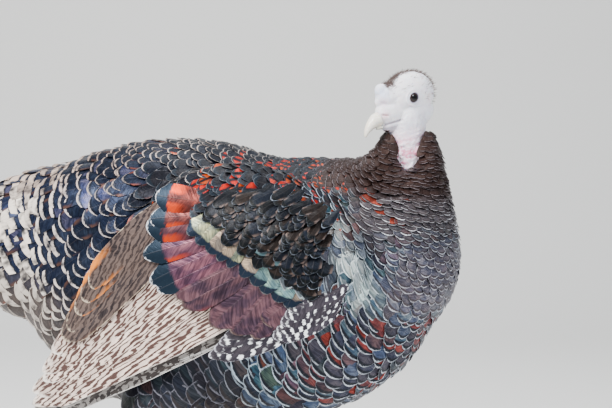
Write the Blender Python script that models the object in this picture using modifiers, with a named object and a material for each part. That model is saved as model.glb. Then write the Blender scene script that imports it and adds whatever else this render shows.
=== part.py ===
"""A bronze turkey hen, life size, standing still with its head turned back over its right wing.

The bird faces +X, its left side is +Y, and its soles are on z = 0. Sizes are in metres, and the
head is drawn in millimetres in a frame of its own, level, looking along +X, with the eyes at x = 0.
Flesh is melted from ellipsoids and tubes, and every limb is cut back from the body that it grows
from. Wings and tail are solid pads that carry their flight feathers and coverts as thin vanes.
"""

import math
import random

import bmesh
import bpy
from mathutils import Matrix, Vector

MM = 0.001
GAP = 0.0003  # what touching nodes keep between them
WELD = 0.000004  # points nearer than this are one
ORIGIN_SHIFT = Vector((0.1100, 0.0, 0.0))  # brings the middle of the bird's box over the origin
SEED = 7

# Body, as ellipsoids: centre, half sizes, and how far the tail end points down, in degrees
BODY_FORMS = (
    ((-0.006, 0, 0.287), (0.215, 0.109, 0.130), 0),  # trunk
    ((-0.075, 0, 0.360), (0.150, 0.096, 0.068), 6),  # back
    ((0.095, 0, 0.350), (0.095, 0.080, 0.062), 0),  # between the shoulders
    ((0.128, 0, 0.322), (0.102, 0.094, 0.090), 0),  # breast
    ((-0.205, 0, 0.338), (0.106, 0.068, 0.062), 17),  # rump
    ((-0.185, 0, 0.300), (0.090, 0.062, 0.055), 8),  # under the tail
)
BODY_VOXEL = 0.008
BODY_SMOOTHING = 9
BODY_TRIANGLES = 1800

# Neck, drawn in and fluffed: height, place along the bird, radius
NECK_STATIONS = (
    (0.300, 0.1800, 0.0450),
    (0.337, 0.1890, 0.0425),
    (0.374, 0.1860, 0.0375),
    (0.392, 0.1840, 0.0350),
    (0.411, 0.1823, 0.0325),
    (0.430, 0.1836, 0.0278),
    (0.445, 0.1840, 0.0245),
)
NECK_FOOT = (0.150, 0, 0.402)  # a point of the cut between neck and torso, at the back
NECK_FOOT_NORMAL = (0.57, 0, 0.82)

# Head, level, in millimetres: centre and half sizes of what it is melted from
HEAD_FORMS = (
    ((-4.5, 0, 2.2), (25, 16.6, 21)),  # brain case
    ((12, 0, 5), (17, 11.2, 12.5)),  # forehead
    ((14, 0, -8), (19, 10.6, 13)),  # face in front of the eyes
    ((-4, 0, -13), (21.5, 14.6, 16)),  # cheeks
    ((14, 0, -19), (16, 8.2, 8.2)),  # chin
)
HEAD_AT = Vector((0.181, -0.004, 0.4668))
HEAD_YAW = -133
HEAD_PITCH = 15
HEAD_VOXEL = 0.0016
HEAD_TRIANGLES = 820
THROAT_TRIANGLES = 280
BEAK_ROOT_X = 31.0
BEAK_UPPER = (  # x, z, half width, half height from the root to the hooked tip
    (31.3, -11.4, 6.9, 6.3),
    (34.4, -12.0, 6.5, 6.0),
    (38.2, -13.9, 5.6, 5.0),
    (42.0, -16.4, 4.4, 3.8),
    (45.0, -19.2, 3.1, 2.7),
    (46.9, -22.0, 1.9, 1.7),
    (47.8, -24.0, 0.7, 0.6),
)
BEAK_LOWER = (
    (31.3, -19.2, 5.0, 2.1),
    (34.0, -19.2, 4.2, 1.8),
    (36.8, -19.7, 1.9, 1.0),
)
SNOOD = ((24.0, 0, 11.2), (4.8, 4.9, 7.2), -8)
EYE_Y = 10.2
EYE_RADIUS = 7.4
LID_RING = 5.5
LID_THICKNESS = 1.1
LID_OUT = 5.5  # from the middle of the eye
LID_SHAPE = (1.12, 1, 0.93)
LID_TURN = 37
NOSTRIL = ((27.5, 7.2, -9.5), (2.6, 2.2, 0.9), -25)
EAR = ((-17, 13.6, -3.5), (2.2, 1.8, 2.6), 0)
MOUTH_FROM = (15.5, -18.6)
MOUTH_TO = (36.0, -18.0)
MOUTH_HEIGHT = 0.7
THROAT_AXIS = Vector((0.1815, -0.001, 0))
THROAT_RADIUS = 0.0168
THROAT_TOP_Z = 0.4385
THROAT_TOP_NORMAL = (0.20, 0.10, 1)
THROAT_FOOT_Z = 0.398
THROAT_FACING = Vector((0.375, -0.927, 0))
NOTCH_Z = 0.434  # of the opening in the neck's feathers, in front of the throat
NOTCH_OUT = 0.033
NOTCH_HALF_SIZES = (0.024, 0.0175, 0.031)
CARUNCLES = 8
CARUNCLE_HEIGHTS = (0.403, 0.423)
CARUNCLE_RADII = (0.0028, 0.0042)

# Leg
THIGH_STATIONS = (  # x, z, half length, half width, above the hock
    (0.022, 0.235, 0.052, 0.036),
    (0.014, 0.200, 0.056, 0.038),
    (0.000, 0.172, 0.048, 0.033),
    (-0.017, 0.150, 0.031, 0.024),
    (-0.029, 0.1385, 0.017, 0.015),
)
HOCK_HALF_LENGTH = 0.0115
HOCK_HALF_WIDTH = 0.0100
LEG_X = -0.030
LEG_Y = 0.060
HOCK = Vector((-0.034, 0, 0.132))
ANKLE = Vector((0.006, 0, 0.020))
SHANK_SCUTES = 9
SHANK_HALF_WIDTHS = (0.0058, 0.0034, 0.0022)  # of the shaft, and more at the hock and at the foot
SHANK_HALF_DEPTHS = (0.0064, 0.0038, 0.0014)
PALM = ((0.005, 0, -0.0095), (0.0125, 0.0115, 0.0105))  # middle from the ankle, half sizes
TOE_ROOT = Vector((0.004, 0, 0.013))
TOE_TIP_RADIUS = 0.0044
TOES = (  # turned outwards by, length, radius at the root
    (4, 0.074, 0.0078),
    (-36, 0.056, 0.0072),
    (40, 0.058, 0.0072),
    (172, 0.026, 0.0056),
)
TOE_SCUTES = 4
CLAW_LENGTH = 0.013
CLAW_CURVE = (  # share of the length, rise, radius
    (0, 0, 0.0031),
    (0.06, 0, 0.0032),
    (0.4, 0.0006, 0.0027),
    (0.75, -0.0008, 0.0016),
    (1.0, -0.0024, 0.0005),
)

# Wing, in the side view: count of each tier, where its first and last feather start and end as
# x and z, half width and lift
WING_HALF_WIDTH = 0.116
WING_BEND = 0.070
WING_CENTRE = (-0.005, 0.300)
WING_REACH = (0.260, 0.200)
SHOULDER_PAD = ((0.070, -0.083, 0.335), (0.108, 0.046, 0.068), -14)
WING_TIERS = (
    (5, ((0.052, 0.256), (0.112, 0.284)), ((-0.192, 0.158), (-0.150, 0.188)), 0.0165, 0.0034),  # primaries
    (9, ((0.096, 0.292), (0.002, 0.366)), ((-0.168, 0.182), (-0.100, 0.262)), 0.0190, 0.0094),  # secondaries
    (4, ((0.122, 0.272), (0.140, 0.302)), ((0.048, 0.246), (0.070, 0.272)), 0.0090, 0.0146),  # hand coverts
)
GREATER_COVERTS = 8
COVERT_CENTRE = Vector((0.135, 0.355))
COVERT_ANGLES = (47, -3)
COVERT_ROOT_RADIUS = 0.052
COVERT_TIP_RADII = (0.108, 0.156)
COVERT_SWEEP = 2.1  # the radii grow over the first part of the fan
COVERT_HALF_WIDTH = 0.0152
COVERT_LIFT = 0.0152
WING_RAGGED = 0.003  # how far a tip may be from the line of its tier
VANE_THICKNESS = 0.0007
VANE_STEP = 0.00130  # from one vane's middle to the next one's, through their thickness

# Tail, in its own plane: it points back and down from a root inside the rump
TAIL_APEX = Vector((-0.165, 0, 0.392))
TAIL_PITCH = 24
TAIL_ARCH = 3.6
TAIL_TIERS = (  # feathers a side, degrees between two, start, length, less per place outwards, lift
    (5, 2.3, 0.085, 0.232, 0.0026, -0.020),
    (3, 3.6, 0.065, 0.152, 0.0050, -0.0125),
    (2, 5.0, 0.040, 0.146, 0.0080, -0.0060),
)
TAIL_HALF_WIDTH = 0.0215
TAIL_RAGGED = 0.002
MIDDLE_GAP = 0.0006
TAIL_PAD = ((-0.254, 0, 0.334), (0.060, 0.046, 0.021), 24)


def clear_scene():
    for obj in list(bpy.data.objects):
        bpy.data.objects.remove(obj, do_unlink=True)


def finish(name, colour, roughness, metallic=0.0):
    made = bpy.data.materials.new(name)
    made.use_nodes = True
    shader = made.node_tree.nodes["Principled BSDF"]
    shader.inputs["Base Color"].default_value = (*colour, 1.0)
    shader.inputs["Roughness"].default_value = roughness
    shader.inputs["Metallic"].default_value = metallic
    return made


def collection_named(name):
    made = bpy.data.collections.new(name)
    bpy.context.scene.collection.children.link(made)
    return made


def face_out(bm):
    bmesh.ops.recalc_face_normals(bm, faces=bm.faces)
    if bm.calc_volume(signed=True) < 0:
        bmesh.ops.reverse_faces(bm, faces=bm.faces)


def put(name, bm, collection):
    """A new object from a bmesh, with its faces pointing out."""
    face_out(bm)
    mesh = bpy.data.meshes.new(name)
    bm.to_mesh(mesh)
    bm.free()
    obj = bpy.data.objects.new(name, mesh)
    collection.objects.link(obj)
    return obj


def mixed(a, b, share):
    return a + (b - a) * share


def ellipsoid(centre, half_sizes, tail_down=0.0, rings=16):
    """A ball stretched to half_sizes. tail_down turns its -X end down, in degrees."""
    bm = bmesh.new()
    bmesh.ops.create_uvsphere(bm, u_segments=rings + 8, v_segments=rings, radius=1.0)
    turned = Matrix.Rotation(math.radians(-tail_down), 4, "Y")
    bm.transform(Matrix.Translation(centre) @ turned @ Matrix.Diagonal((*half_sizes, 1.0)))
    return bm


def loft(sections):
    """A closed solid through rings of equal count, its ends closed by fans."""
    bm = bmesh.new()
    rings = [[bm.verts.new(point) for point in section] for section in sections]
    sides = len(rings[0])
    for lower, upper in zip(rings, rings[1:]):
        for i in range(sides):
            j = (i + 1) % sides
            bm.faces.new((lower[i], lower[j], upper[j], upper[i]))
    for ring in (rings[0], rings[-1]):
        middle = bm.verts.new(sum((v.co for v in ring), Vector()) / sides)
        for i in range(sides):
            bm.faces.new((ring[i], ring[(i + 1) % sides], middle))
    return bm


def tube(path, half_widths, half_heights, sides=12, up=Vector((0, 0, 1)), swell=None):
    """A loft of ellipses square to a path. swell(station, angle) makes a point stand out further."""
    sections = []
    for k, centre in enumerate(path):
        ahead = path[min(k + 1, len(path) - 1)] - path[max(k - 1, 0)]
        across = ahead.cross(up).normalized()
        over = across.cross(ahead).normalized()
        ring = []
        for i in range(sides):
            angle = 2 * math.pi * (i + 0.5) / sides
            grown = 1 + (swell(k, angle) if swell else 0)
            ring.append(
                centre
                + across * half_widths[k] * math.cos(angle) * grown
                + over * half_heights[k] * math.sin(angle) * grown
            )
        sections.append(ring)
    return loft(sections)


def applied(obj):
    """Replaces an object's mesh by what its modifiers make of it."""
    bpy.context.view_layer.update()
    evaluated = obj.evaluated_get(bpy.context.evaluated_depsgraph_get())
    mesh = bpy.data.meshes.new_from_object(evaluated)
    obj.modifiers.clear()
    obj.data = mesh
    return obj


def melted(name, forms, voxel, smoothing, triangles, collection):
    """One smooth closed skin round several overlapping forms."""
    whole = bmesh.new()
    for form in forms:
        loose = bpy.data.meshes.new("form")
        face_out(form)
        form.to_mesh(loose)
        form.free()
        whole.from_mesh(loose)
        bpy.data.meshes.remove(loose)
    obj = put(name, whole, collection)
    remesh = obj.modifiers.new("melt", "REMESH")
    remesh.mode = "VOXEL"
    remesh.voxel_size = voxel
    smooth = obj.modifiers.new("smooth", "SMOOTH")
    smooth.factor = 0.5
    smooth.iterations = smoothing
    applied(obj)
    thin_out(obj, triangles)
    return obj


def thin_out(obj, triangles):
    obj.data.calc_loop_triangles()
    decimate = obj.modifiers.new("thin_out", "DECIMATE")
    decimate.ratio = min(1.0, triangles / len(obj.data.loop_triangles))
    decimate.use_collapse_triangulate = True
    applied(obj)


def grown(obj, collection, by=GAP):
    """A copy of a solid with its surface moved out, which cuts neighbours so that they touch it."""
    copy = bpy.data.objects.new(obj.name + "_cutter", obj.data.copy())
    collection.objects.link(copy)
    displace = copy.modifiers.new("grow", "DISPLACE")
    displace.strength = by
    displace.mid_level = 0.0
    return applied(copy)


def largest_surface(obj):
    """Keeps only the largest closed surface of a mesh."""
    bm = bmesh.new()
    bm.from_mesh(obj.data)
    left = set(bm.faces)
    groups = []
    while left:
        group = set()
        front = [left.pop()]
        while front:
            face = front.pop()
            group.add(face)
            for edge in face.edges:
                for other in edge.link_faces:
                    if other in left:
                        left.discard(other)
                        front.append(other)
        groups.append(group)
    keep = max(groups, key=lambda group: sum(face.calc_area() for face in group), default=set())
    bmesh.ops.delete(bm, geom=[f for f in bm.faces if f not in keep], context="FACES")
    bm.to_mesh(obj.data)
    bm.free()
    return obj


def combine(obj, operation, operand):
    """Fuses or cuts solids in the first way that leaves a closed surface."""
    before = obj.data.copy()
    for solver in ("EXACT", "MANIFOLD"):
        obj.data = before.copy()
        boolean = obj.modifiers.new("combine", "BOOLEAN")
        boolean.operation = operation
        boolean.solver = solver
        if isinstance(operand, bpy.types.Collection):
            boolean.operand_type = "COLLECTION"
            boolean.collection = operand
        else:
            boolean.object = operand
        largest_surface(applied(obj))
        if is_closed(obj):
            return without_slivers(obj)
    raise ValueError(f"{obj.name} isn't closed after {operation.lower()}")


def without_slivers(obj):
    """Welds points that all but touch, where the surface stays closed by it."""
    kept = obj.data
    obj.data = kept.copy()
    bm = bmesh.new()
    bm.from_mesh(obj.data)
    bmesh.ops.remove_doubles(bm, verts=bm.verts, dist=WELD)
    bmesh.ops.dissolve_degenerate(bm, edges=bm.edges, dist=WELD)
    bm.to_mesh(obj.data)
    bm.free()
    if not is_closed(obj):
        obj.data = kept
    return obj


def is_closed(obj):
    bm = bmesh.new()
    bm.from_mesh(obj.data)
    closed = all(len(edge.link_faces) == 2 for edge in bm.edges) and bm.calc_volume(signed=True) > 0
    bm.free()
    return closed


def joined(core, pieces):
    """Fuses closed pieces into core, and removes them."""
    together = collection_named("joining")
    for piece in pieces:
        for owner in list(piece.users_collection):
            owner.objects.unlink(piece)
        together.objects.link(piece)
    combine(core, "UNION", together)
    for piece in pieces:
        bpy.data.objects.remove(piece, do_unlink=True)
    bpy.data.collections.remove(together)
    return core


def cut(obj, cutter):
    """Cuts one solid back from another."""
    return combine(obj, "DIFFERENCE", cutter)


def half_space(point, normal, size, collection):
    """A block whose face lies on a plane, with all of it on the side that normal points to."""
    bm = bmesh.new()
    bmesh.ops.create_cube(bm, size=size)
    facing = Vector(normal).to_track_quat("Z", "Y").to_matrix().to_4x4()
    bm.transform(Matrix.Translation(point) @ facing @ Matrix.Translation((0, 0, size / 2)))
    return put("half_space", bm, collection)


def parted(obj, point, normal, names, size, nodes, tools):
    """Parts a solid by a thin cut. The first name is for the side that normal points to."""
    normal = Vector(normal).normalized()
    sides = []
    for name, direction in zip(names, (1, -1)):
        side = bpy.data.objects.new(name, obj.data.copy())
        nodes.objects.link(side)
        start = Vector(point) + normal * direction * GAP / 2
        cut(side, half_space(start, normal * -direction, size, tools))
        sides.append(side)
    bpy.data.objects.remove(obj, do_unlink=True)
    return sides


def vane(place, length, half_width, root_share=0.35, tip_share=0.5, inner_limit=None, bends=()):
    """One feather: a thin plate whose two faces are split into triangles alike.

    place(along, across, lift) gives a point. inner_limit(along) is how far the vane may reach to
    its -across side, and bends are the shares of its length at which it follows a bend."""
    swelling = mixed(root_share, 1.0, 0.75)
    outline = ((0.0, root_share), (0.30, swelling), (0.62, 1.0), (0.92, 0.94), (1.0, tip_share))
    inside = [share for share in bends if 0.08 < share < 0.86] or [0.30, 0.62]
    bm = bmesh.new()
    faces = []
    for side in (0.5, -0.5):
        rows = []
        for share in (0.0, *inside, 0.92, 1.0):
            along = share * length
            reach = half_width * between(outline, share)
            inner = reach if inner_limit is None else min(reach, inner_limit(along))
            lift = side * VANE_THICKNESS
            rows.append([bm.verts.new(place(along, q, lift)) for q in (-inner, reach)])
        faces.append(rows)
    top, bottom = faces
    last = len(top) - 1
    for k in range(last):
        for rows in (top, bottom):
            a, b, c, d = *rows[k], *reversed(rows[k + 1])
            bm.faces.new((a, b, c))
            bm.faces.new((a, c, d))
        for i in (0, 1):
            bm.faces.new((top[k][i], top[k + 1][i], bottom[k + 1][i]))
            bm.faces.new((top[k][i], bottom[k + 1][i], bottom[k][i]))
    for k in (0, last):
        bm.faces.new((top[k][0], top[k][1], bottom[k][1]))
        bm.faces.new((top[k][0], bottom[k][1], bottom[k][0]))
    return bm


def between(pairs, at):
    """The value at a place between pairs of place and value."""
    for (low, a), (high, b) in zip(pairs, pairs[1:]):
        if at <= high:
            return mixed(a, b, (at - low) / (high - low))
    return pairs[-1][1]


def wing_half_width(x, z):
    """How far the wing's face is from the bird's middle. It is bent at every WING_BEND along x."""

    def smooth(at):
        along = (at - WING_CENTRE[0]) / WING_REACH[0]
        return math.sqrt(max(1 - along**2, 0.05))

    over = (z - WING_CENTRE[1]) / WING_REACH[1]
    low = math.floor(x / WING_BEND) * WING_BEND
    along = mixed(smooth(low), smooth(low + WING_BEND), (x - low) / WING_BEND)
    return WING_HALF_WIDTH * along * math.sqrt(max(1 - over**2, 0.05))


def wing_point(x, z, lift):
    """A point of the right wing's face, lift above it, over a place in the side view."""
    reach = WING_BEND / 2
    slope_x = (wing_half_width(x + reach, z) - wing_half_width(x - reach, z)) / (2 * reach)
    slope_z = (wing_half_width(x, z + 0.01) - wing_half_width(x, z - 0.01)) / 0.02
    normal = Vector((-slope_x, -1, -slope_z)).normalized()
    return Vector((x, -wing_half_width(x, z), z)) + normal * lift


def wing_vane(root, tip, half_width, lift, steps, **shape):
    """A vane on the right wing's face. steps are the distances to the next vane at root and tip:
    the vane leans so that its upper edge slides under that one."""
    root, tip = Vector(root), Vector(tip)
    length = (tip - root).length
    along = (tip - root) / length
    upward = Vector((along.y, -along.x))

    def place(s, q, through):
        at = root + along * s + upward * q
        lean = VANE_STEP / mixed(steps[0], steps[1], s / length)
        return wing_point(at.x, at.y, lift - q * lean + through)

    first = math.ceil(tip.x / WING_BEND)
    last = math.floor(root.x / WING_BEND)
    bends = sorted((k * WING_BEND - root.x) / (along.x * length) for k in range(first, last + 1))
    return vane(place, length, half_width, bends=bends, **shape)


def row_of_vanes(count, roots, tips, half_width, lift, draw):
    """A tier of wing feathers from one line of roots to one line of tips, the first one lowest."""
    roots = [Vector(p) for p in roots]
    tips = [Vector(p) for p in tips]
    steps = [(line[1] - line[0]).length / (count - 1) for line in (roots, tips)]
    made = []
    for i in range(count):
        share = i / (count - 1)
        root = mixed(roots[0], roots[1], share)
        tip = mixed(tips[0], tips[1], share)
        tip += (tip - root).normalized() * draw.uniform(-WING_RAGGED, WING_RAGGED)
        made.append(wing_vane(root, tip, half_width, lift, steps))
    return made


def greater_coverts():
    """The fan of broad feathers that covers the roots of the secondaries."""
    made = []
    turn = math.radians(COVERT_ANGLES[0] - COVERT_ANGLES[1]) / (GREATER_COVERTS - 1)
    for i in range(GREATER_COVERTS):
        share = i / (GREATER_COVERTS - 1)
        angle = math.radians(mixed(COVERT_ANGLES[0], COVERT_ANGLES[1], share))
        out = Vector((-math.cos(angle), -math.sin(angle)))
        reach = mixed(COVERT_TIP_RADII[0], COVERT_TIP_RADII[1], min(1.0, share * COVERT_SWEEP))
        steps = (COVERT_ROOT_RADIUS * turn, reach * turn)
        root = COVERT_CENTRE + out * COVERT_ROOT_RADIUS
        tip = COVERT_CENTRE + out * reach
        shape = {"root_share": 0.3, "tip_share": 0.6}
        made.append(wing_vane(root, tip, COVERT_HALF_WIDTH, COVERT_LIFT, steps, **shape))
    return made


def wings(torso_cutter, nodes, tools):
    """Both wings. The left one is the right one's mirror image."""
    draw = random.Random(SEED)
    centre, half_sizes, tail_down = SHOULDER_PAD
    pad = put("wing_right", ellipsoid(centre, half_sizes, tail_down, rings=8), nodes)
    vanes = greater_coverts()
    for count, roots, tips, half_width, lift in WING_TIERS:
        vanes += row_of_vanes(count, roots, tips, half_width, lift, draw)
    joined(pad, [put("vane", bm, tools) for bm in vanes])
    left = bpy.data.objects.new("wing_left", pad.data.copy())
    left.data.transform(Matrix.Scale(-1, 4, (0, 1, 0)))
    left.data.flip_normals()
    nodes.objects.link(left)
    return [cut(wing, torso_cutter) for wing in (pad, left)]


def tail_point(along, across, lift):
    """A point of the tail's arched face, from its apex inside the rump."""
    back = Vector((-math.cos(math.radians(TAIL_PITCH)), 0, -math.sin(math.radians(TAIL_PITCH))))
    over = Vector((-math.sin(math.radians(TAIL_PITCH)), 0, math.cos(math.radians(TAIL_PITCH))))
    arch = TAIL_ARCH * across**2
    return TAIL_APEX + back * along + Vector((0, across, 0)) + over * (lift - arch)


def tail_vane(index, fan, start, length, half_width, lift):
    """A tail feather, index places from the middle. Those further out lie under those nearer in."""
    side = (index > 0) - (index < 0)
    angle = math.radians(fan) * index
    turn = math.radians(fan)

    def place(s, q, through):
        q = q * (side or 1)
        along = (start + s) * math.cos(angle) - q * math.sin(angle)
        across = (start + s) * math.sin(angle) + q * math.cos(angle)
        lean = VANE_STEP / ((start + s) * turn)
        rise = abs(q) * lean if side == 0 else q * side * lean
        return tail_point(along, across, lift + rise + through)

    def to_middle(s):
        return (start + s) * math.sin(abs(angle)) - MIDDLE_GAP

    limit = to_middle if side else None
    return vane(place, length, half_width, inner_limit=limit)


def tail(torso_cutter, nodes, tools):
    """The folded tail: eleven flight feathers in one fan, with two tiers of coverts."""
    draw = random.Random(SEED + 1)
    centre, half_sizes, tail_down = TAIL_PAD
    pad = put("tail", ellipsoid(centre, half_sizes, tail_down, rings=8), nodes)
    vanes = []
    for a_side, fan, start, full, less, lift in TAIL_TIERS:
        for i in range(-a_side, a_side + 1):
            length = full - less * abs(i) + draw.uniform(-TAIL_RAGGED, TAIL_RAGGED)
            vanes.append(tail_vane(i, fan, start, length, TAIL_HALF_WIDTH, lift))
    joined(pad, [put("vane", bm, tools) for bm in vanes])
    return cut(pad, torso_cutter)


def head_matrix():
    yaw = Matrix.Rotation(math.radians(HEAD_YAW), 4, "Z")
    pitch = Matrix.Rotation(math.radians(HEAD_PITCH), 4, "Y")
    return Matrix.Translation(HEAD_AT) @ yaw @ pitch @ Matrix.Scale(MM, 4)


def in_head(bm):
    bm.transform(head_matrix())
    return bm


def throat_column():
    """The bare throat, from inside the head down into the feathered neck."""
    top = head_matrix() @ Vector((-3, 0, -8))
    path = [top]
    path += [THROAT_AXIS + Vector((0, 0, z)) for z in (0.436, 0.415, THROAT_FOOT_Z)]
    radii = [THROAT_RADIUS * share for share in (0.9, 1.04, 1.0, 0.9)]
    return tube(path, radii, radii, sides=20, up=Vector((0, 1, 0)))


def caruncles(tools):
    """Bulbs of bare skin at the foot of the throat."""
    draw = random.Random(SEED + 2)
    made = []
    across = Vector((-THROAT_FACING.y, THROAT_FACING.x, 0))
    for i in range(CARUNCLES):
        turn = math.radians(draw.uniform(-48, 48))
        out = THROAT_FACING * math.cos(turn) + across * math.sin(turn)
        height = mixed(*CARUNCLE_HEIGHTS, (i + 0.5) / CARUNCLES)
        radius = draw.uniform(*CARUNCLE_RADII)
        centre = THROAT_AXIS + out * (THROAT_RADIUS - 0.0006) + Vector((0, 0, height))
        bulb = bmesh.new()
        bmesh.ops.create_uvsphere(bulb, u_segments=9, v_segments=6, radius=radius)
        bulb.transform(Matrix.Translation(centre) @ Matrix.Diagonal((1, 1, 0.8, 1)))
        made.append(put("caruncle", bulb, tools))
    return made


def lid(side, tools):
    """The swollen ring of skin round one eye, an oval that rises to the back of the head."""
    bpy.ops.mesh.primitive_torus_add(
        major_radius=LID_RING, minor_radius=LID_THICKNESS, major_segments=14, minor_segments=6
    )
    ring = bpy.context.object
    upright = Matrix.Rotation(math.pi / 2, 4, "X")
    oval = Matrix.Rotation(math.radians(LID_TURN), 4, "Y") @ Matrix.Diagonal((*LID_SHAPE, 1))
    outwards = Matrix.Translation((0, side * (EYE_Y + LID_OUT), 0))
    ring.data.transform(head_matrix() @ outwards @ oval @ upright)
    for owner in list(ring.users_collection):
        owner.objects.unlink(ring)
    tools.objects.link(ring)
    return ring


def hollow(shape, side, rings, tools):
    """A cutter for an opening on one side of the head."""
    (x, y, z), half_sizes, tail_down = shape
    return put("hollow", in_head(ellipsoid((x, side * y, z), half_sizes, tail_down, rings)), tools)


def head_and_throat(nodes, tools):
    """The bare head with lids, mouth, nostrils and ears, and the throat below it."""
    forms = [in_head(ellipsoid(centre, sizes)) for centre, sizes in HEAD_FORMS]
    whole = melted("head_whole", forms + [throat_column()], HEAD_VOXEL, 3, 3000, tools)
    top = THROAT_AXIS + Vector((0, 0, THROAT_TOP_Z))
    head, throat = parted(whole, top, THROAT_TOP_NORMAL, ("head", "throat"), 0.2, nodes, tools)
    thin_out(head, HEAD_TRIANGLES)
    thin_out(throat, THROAT_TRIANGLES)
    joined(head, [lid(side, tools) for side in (1, -1)])
    socket = ((0, EYE_Y, 0), [EYE_RADIUS + GAP / MM] * 3, 0)
    for side in (1, -1):
        for shape, rings in ((socket, 8), (NOSTRIL, 6), (EAR, 6)):
            cut(head, hollow(shape, side, rings, tools))
    mouth = bmesh.new()
    bmesh.ops.create_cube(mouth, size=1.0)
    run = Vector((MOUTH_TO[0] - MOUTH_FROM[0], 0, MOUTH_TO[1] - MOUTH_FROM[1]))
    middle = Vector((MOUTH_FROM[0] + run.x / 2, 0, MOUTH_FROM[1] + run.z / 2))
    slope = Matrix.Rotation(-math.atan2(run.z, run.x), 4, "Y")
    through = Matrix.Diagonal((run.length, 4 * EYE_Y, MOUTH_HEIGHT, 1))
    mouth.transform(Matrix.Translation(middle) @ slope @ through)
    cut(head, put("mouth", in_head(mouth), tools))
    front = head_matrix().to_3x3() @ Vector((1, 0, 0))
    beak_root = head_matrix() @ Vector((BEAK_ROOT_X, 0, -10))
    cut(head, half_space(beak_root, front, 0.1, tools))
    joined(throat, caruncles(tools))
    return head, throat


def eyes(nodes):
    made = []
    for name, side in (("eye_left", 1), ("eye_right", -1)):
        ball = ellipsoid((0, side * EYE_Y, 0), [EYE_RADIUS] * 3, rings=8)
        made.append(put(name, in_head(ball), nodes))
    return made


def snood(head_cutter, nodes):
    """The short fleshy knob of a hen, at the top of the forehead."""
    return cut(put("snood", in_head(ellipsoid(*SNOOD, rings=8)), nodes), head_cutter)


def beak(nodes, tools):
    """Upper and lower beak, hooked, from the plane where the skin ends."""
    halves = []
    for name, stations, sides in (("beak_upper", BEAK_UPPER, 14), ("beak_lower", BEAK_LOWER, 12)):
        path = [Vector((x, 0, z)) for x, z, _, _ in stations]
        wide = [w for _, _, w, _ in stations]
        high = [h for _, _, _, h in stations]
        halves.append(put(name, in_head(tube(path, wide, high, sides)), nodes))
    upper, lower = halves
    front = head_matrix().to_3x3() @ Vector((1, 0, 0))
    root = head_matrix() @ Vector((BEAK_ROOT_X + GAP / MM, 0, -10))
    for half in halves:
        cut(half, half_space(root, -front, 0.1, tools))
    cut(lower, grown(upper, tools))
    return upper, lower


def body(nodes, tools):
    """Torso and feathered neck, melted whole and parted at the neck's foot."""
    forms = [ellipsoid(centre, sizes, down) for centre, sizes, down in BODY_FORMS]
    path = [Vector((x, 0, z)) for z, x, _ in NECK_STATIONS]
    radii = [r for _, _, r in NECK_STATIONS]
    forms.append(tube(path, radii, radii, sides=24, up=Vector((0, 1, 0))))
    whole = melted("body_whole", forms, BODY_VOXEL, BODY_SMOOTHING, BODY_TRIANGLES, tools)
    return parted(whole, NECK_FOOT, NECK_FOOT_NORMAL, ("neck", "torso"), 1.0, nodes, tools)


def fit_neck(neck, head, throat, tools):
    """Opens the neck's front over the bare throat, and seats the throat and head in it."""
    for inner in (throat, head):
        cut(neck, grown(inner, tools))
    middle = THROAT_AXIS + THROAT_FACING * NOTCH_OUT + Vector((0, 0, NOTCH_Z))
    turned = Matrix.Rotation(math.atan2(THROAT_FACING.y, THROAT_FACING.x), 4, "Z")
    notch = bmesh.new()
    bmesh.ops.create_uvsphere(notch, u_segments=16, v_segments=10, radius=1.0)
    notch.transform(Matrix.Translation(middle) @ turned @ Matrix.Diagonal((*NOTCH_HALF_SIZES, 1)))
    cut(neck, put("notch", notch, tools))


def leg_at(point, side):
    return Vector((LEG_X + point.x, side * LEG_Y, point.z))


def thigh(side, torso_cutter, nodes):
    """The feathered drumstick, down to the hock."""
    hock = (HOCK.x, HOCK.z + GAP, HOCK_HALF_LENGTH, HOCK_HALF_WIDTH)
    sections = []
    for x, z, long, wide in (*THIGH_STATIONS, hock):
        ring = []
        for i in range(16):
            angle = 2 * math.pi * i / 16
            out = Vector((long * math.cos(angle), wide * math.sin(angle), 0))
            ring.append(leg_at(Vector((x, 0, z)), side) + out)
        sections.append(ring)
    name = "thigh_left" if side > 0 else "thigh_right"
    return cut(put(name, loft(sections), nodes), torso_cutter)


def scuted(k, angle):
    """Every second ring stands out on the upper face, as the edge of a scute."""
    return 0.13 * max(0.0, math.sin(angle)) if k % 2 else 0.0


def shank(side, nodes, tools):
    """The scaled shank, with the knuckle of the hock on top."""
    start, end = leg_at(HOCK, side), leg_at(ANKLE, side)
    path = []
    widths = []
    depths = []
    for k in range(2 * SHANK_SCUTES):
        share = (k // 2 + (0.90 if k % 2 else 0.0)) / SHANK_SCUTES
        path.append(mixed(start, end, share))
        knuckle = max(0.0, 1 - share / 0.14)
        foot = max(0.0, (share - 0.86) / 0.14)
        for sizes, (shaft, at_hock, at_foot) in ((widths, SHANK_HALF_WIDTHS), (depths, SHANK_HALF_DEPTHS)):
            sizes.append(shaft + at_hock * knuckle + at_foot * foot)
    bm = tube(path, widths, depths, sides=10, up=Vector((1, 0, 0)), swell=scuted)
    name = "shank_left" if side > 0 else "shank_right"
    return cut(put(name, bm, nodes), half_space(start, (0, 0, 1), 0.1, tools))


def toe_path(side, outwards, length, radius):
    """Points of a toe's middle line, near the floor, and its direction."""
    angle = math.radians(outwards) * side
    ahead = Vector((math.cos(angle), math.sin(angle), 0))
    root = leg_at(ANKLE, side) + TOE_ROOT
    root.z = TOE_ROOT.z
    tip = root + ahead * length
    path = []
    for k in range(2 * TOE_SCUTES):
        share = (k // 2 + (0.90 if k % 2 else 0.0)) / TOE_SCUTES
        at = mixed(root, tip, share)
        low = 0.80 * mixed(radius, TOE_TIP_RADIUS, share)  # leaves a flat sole on the floor
        at.z = mixed(root.z, low, min(1.0, share * 2.6))
        path.append(at)
    return path, ahead


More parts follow.
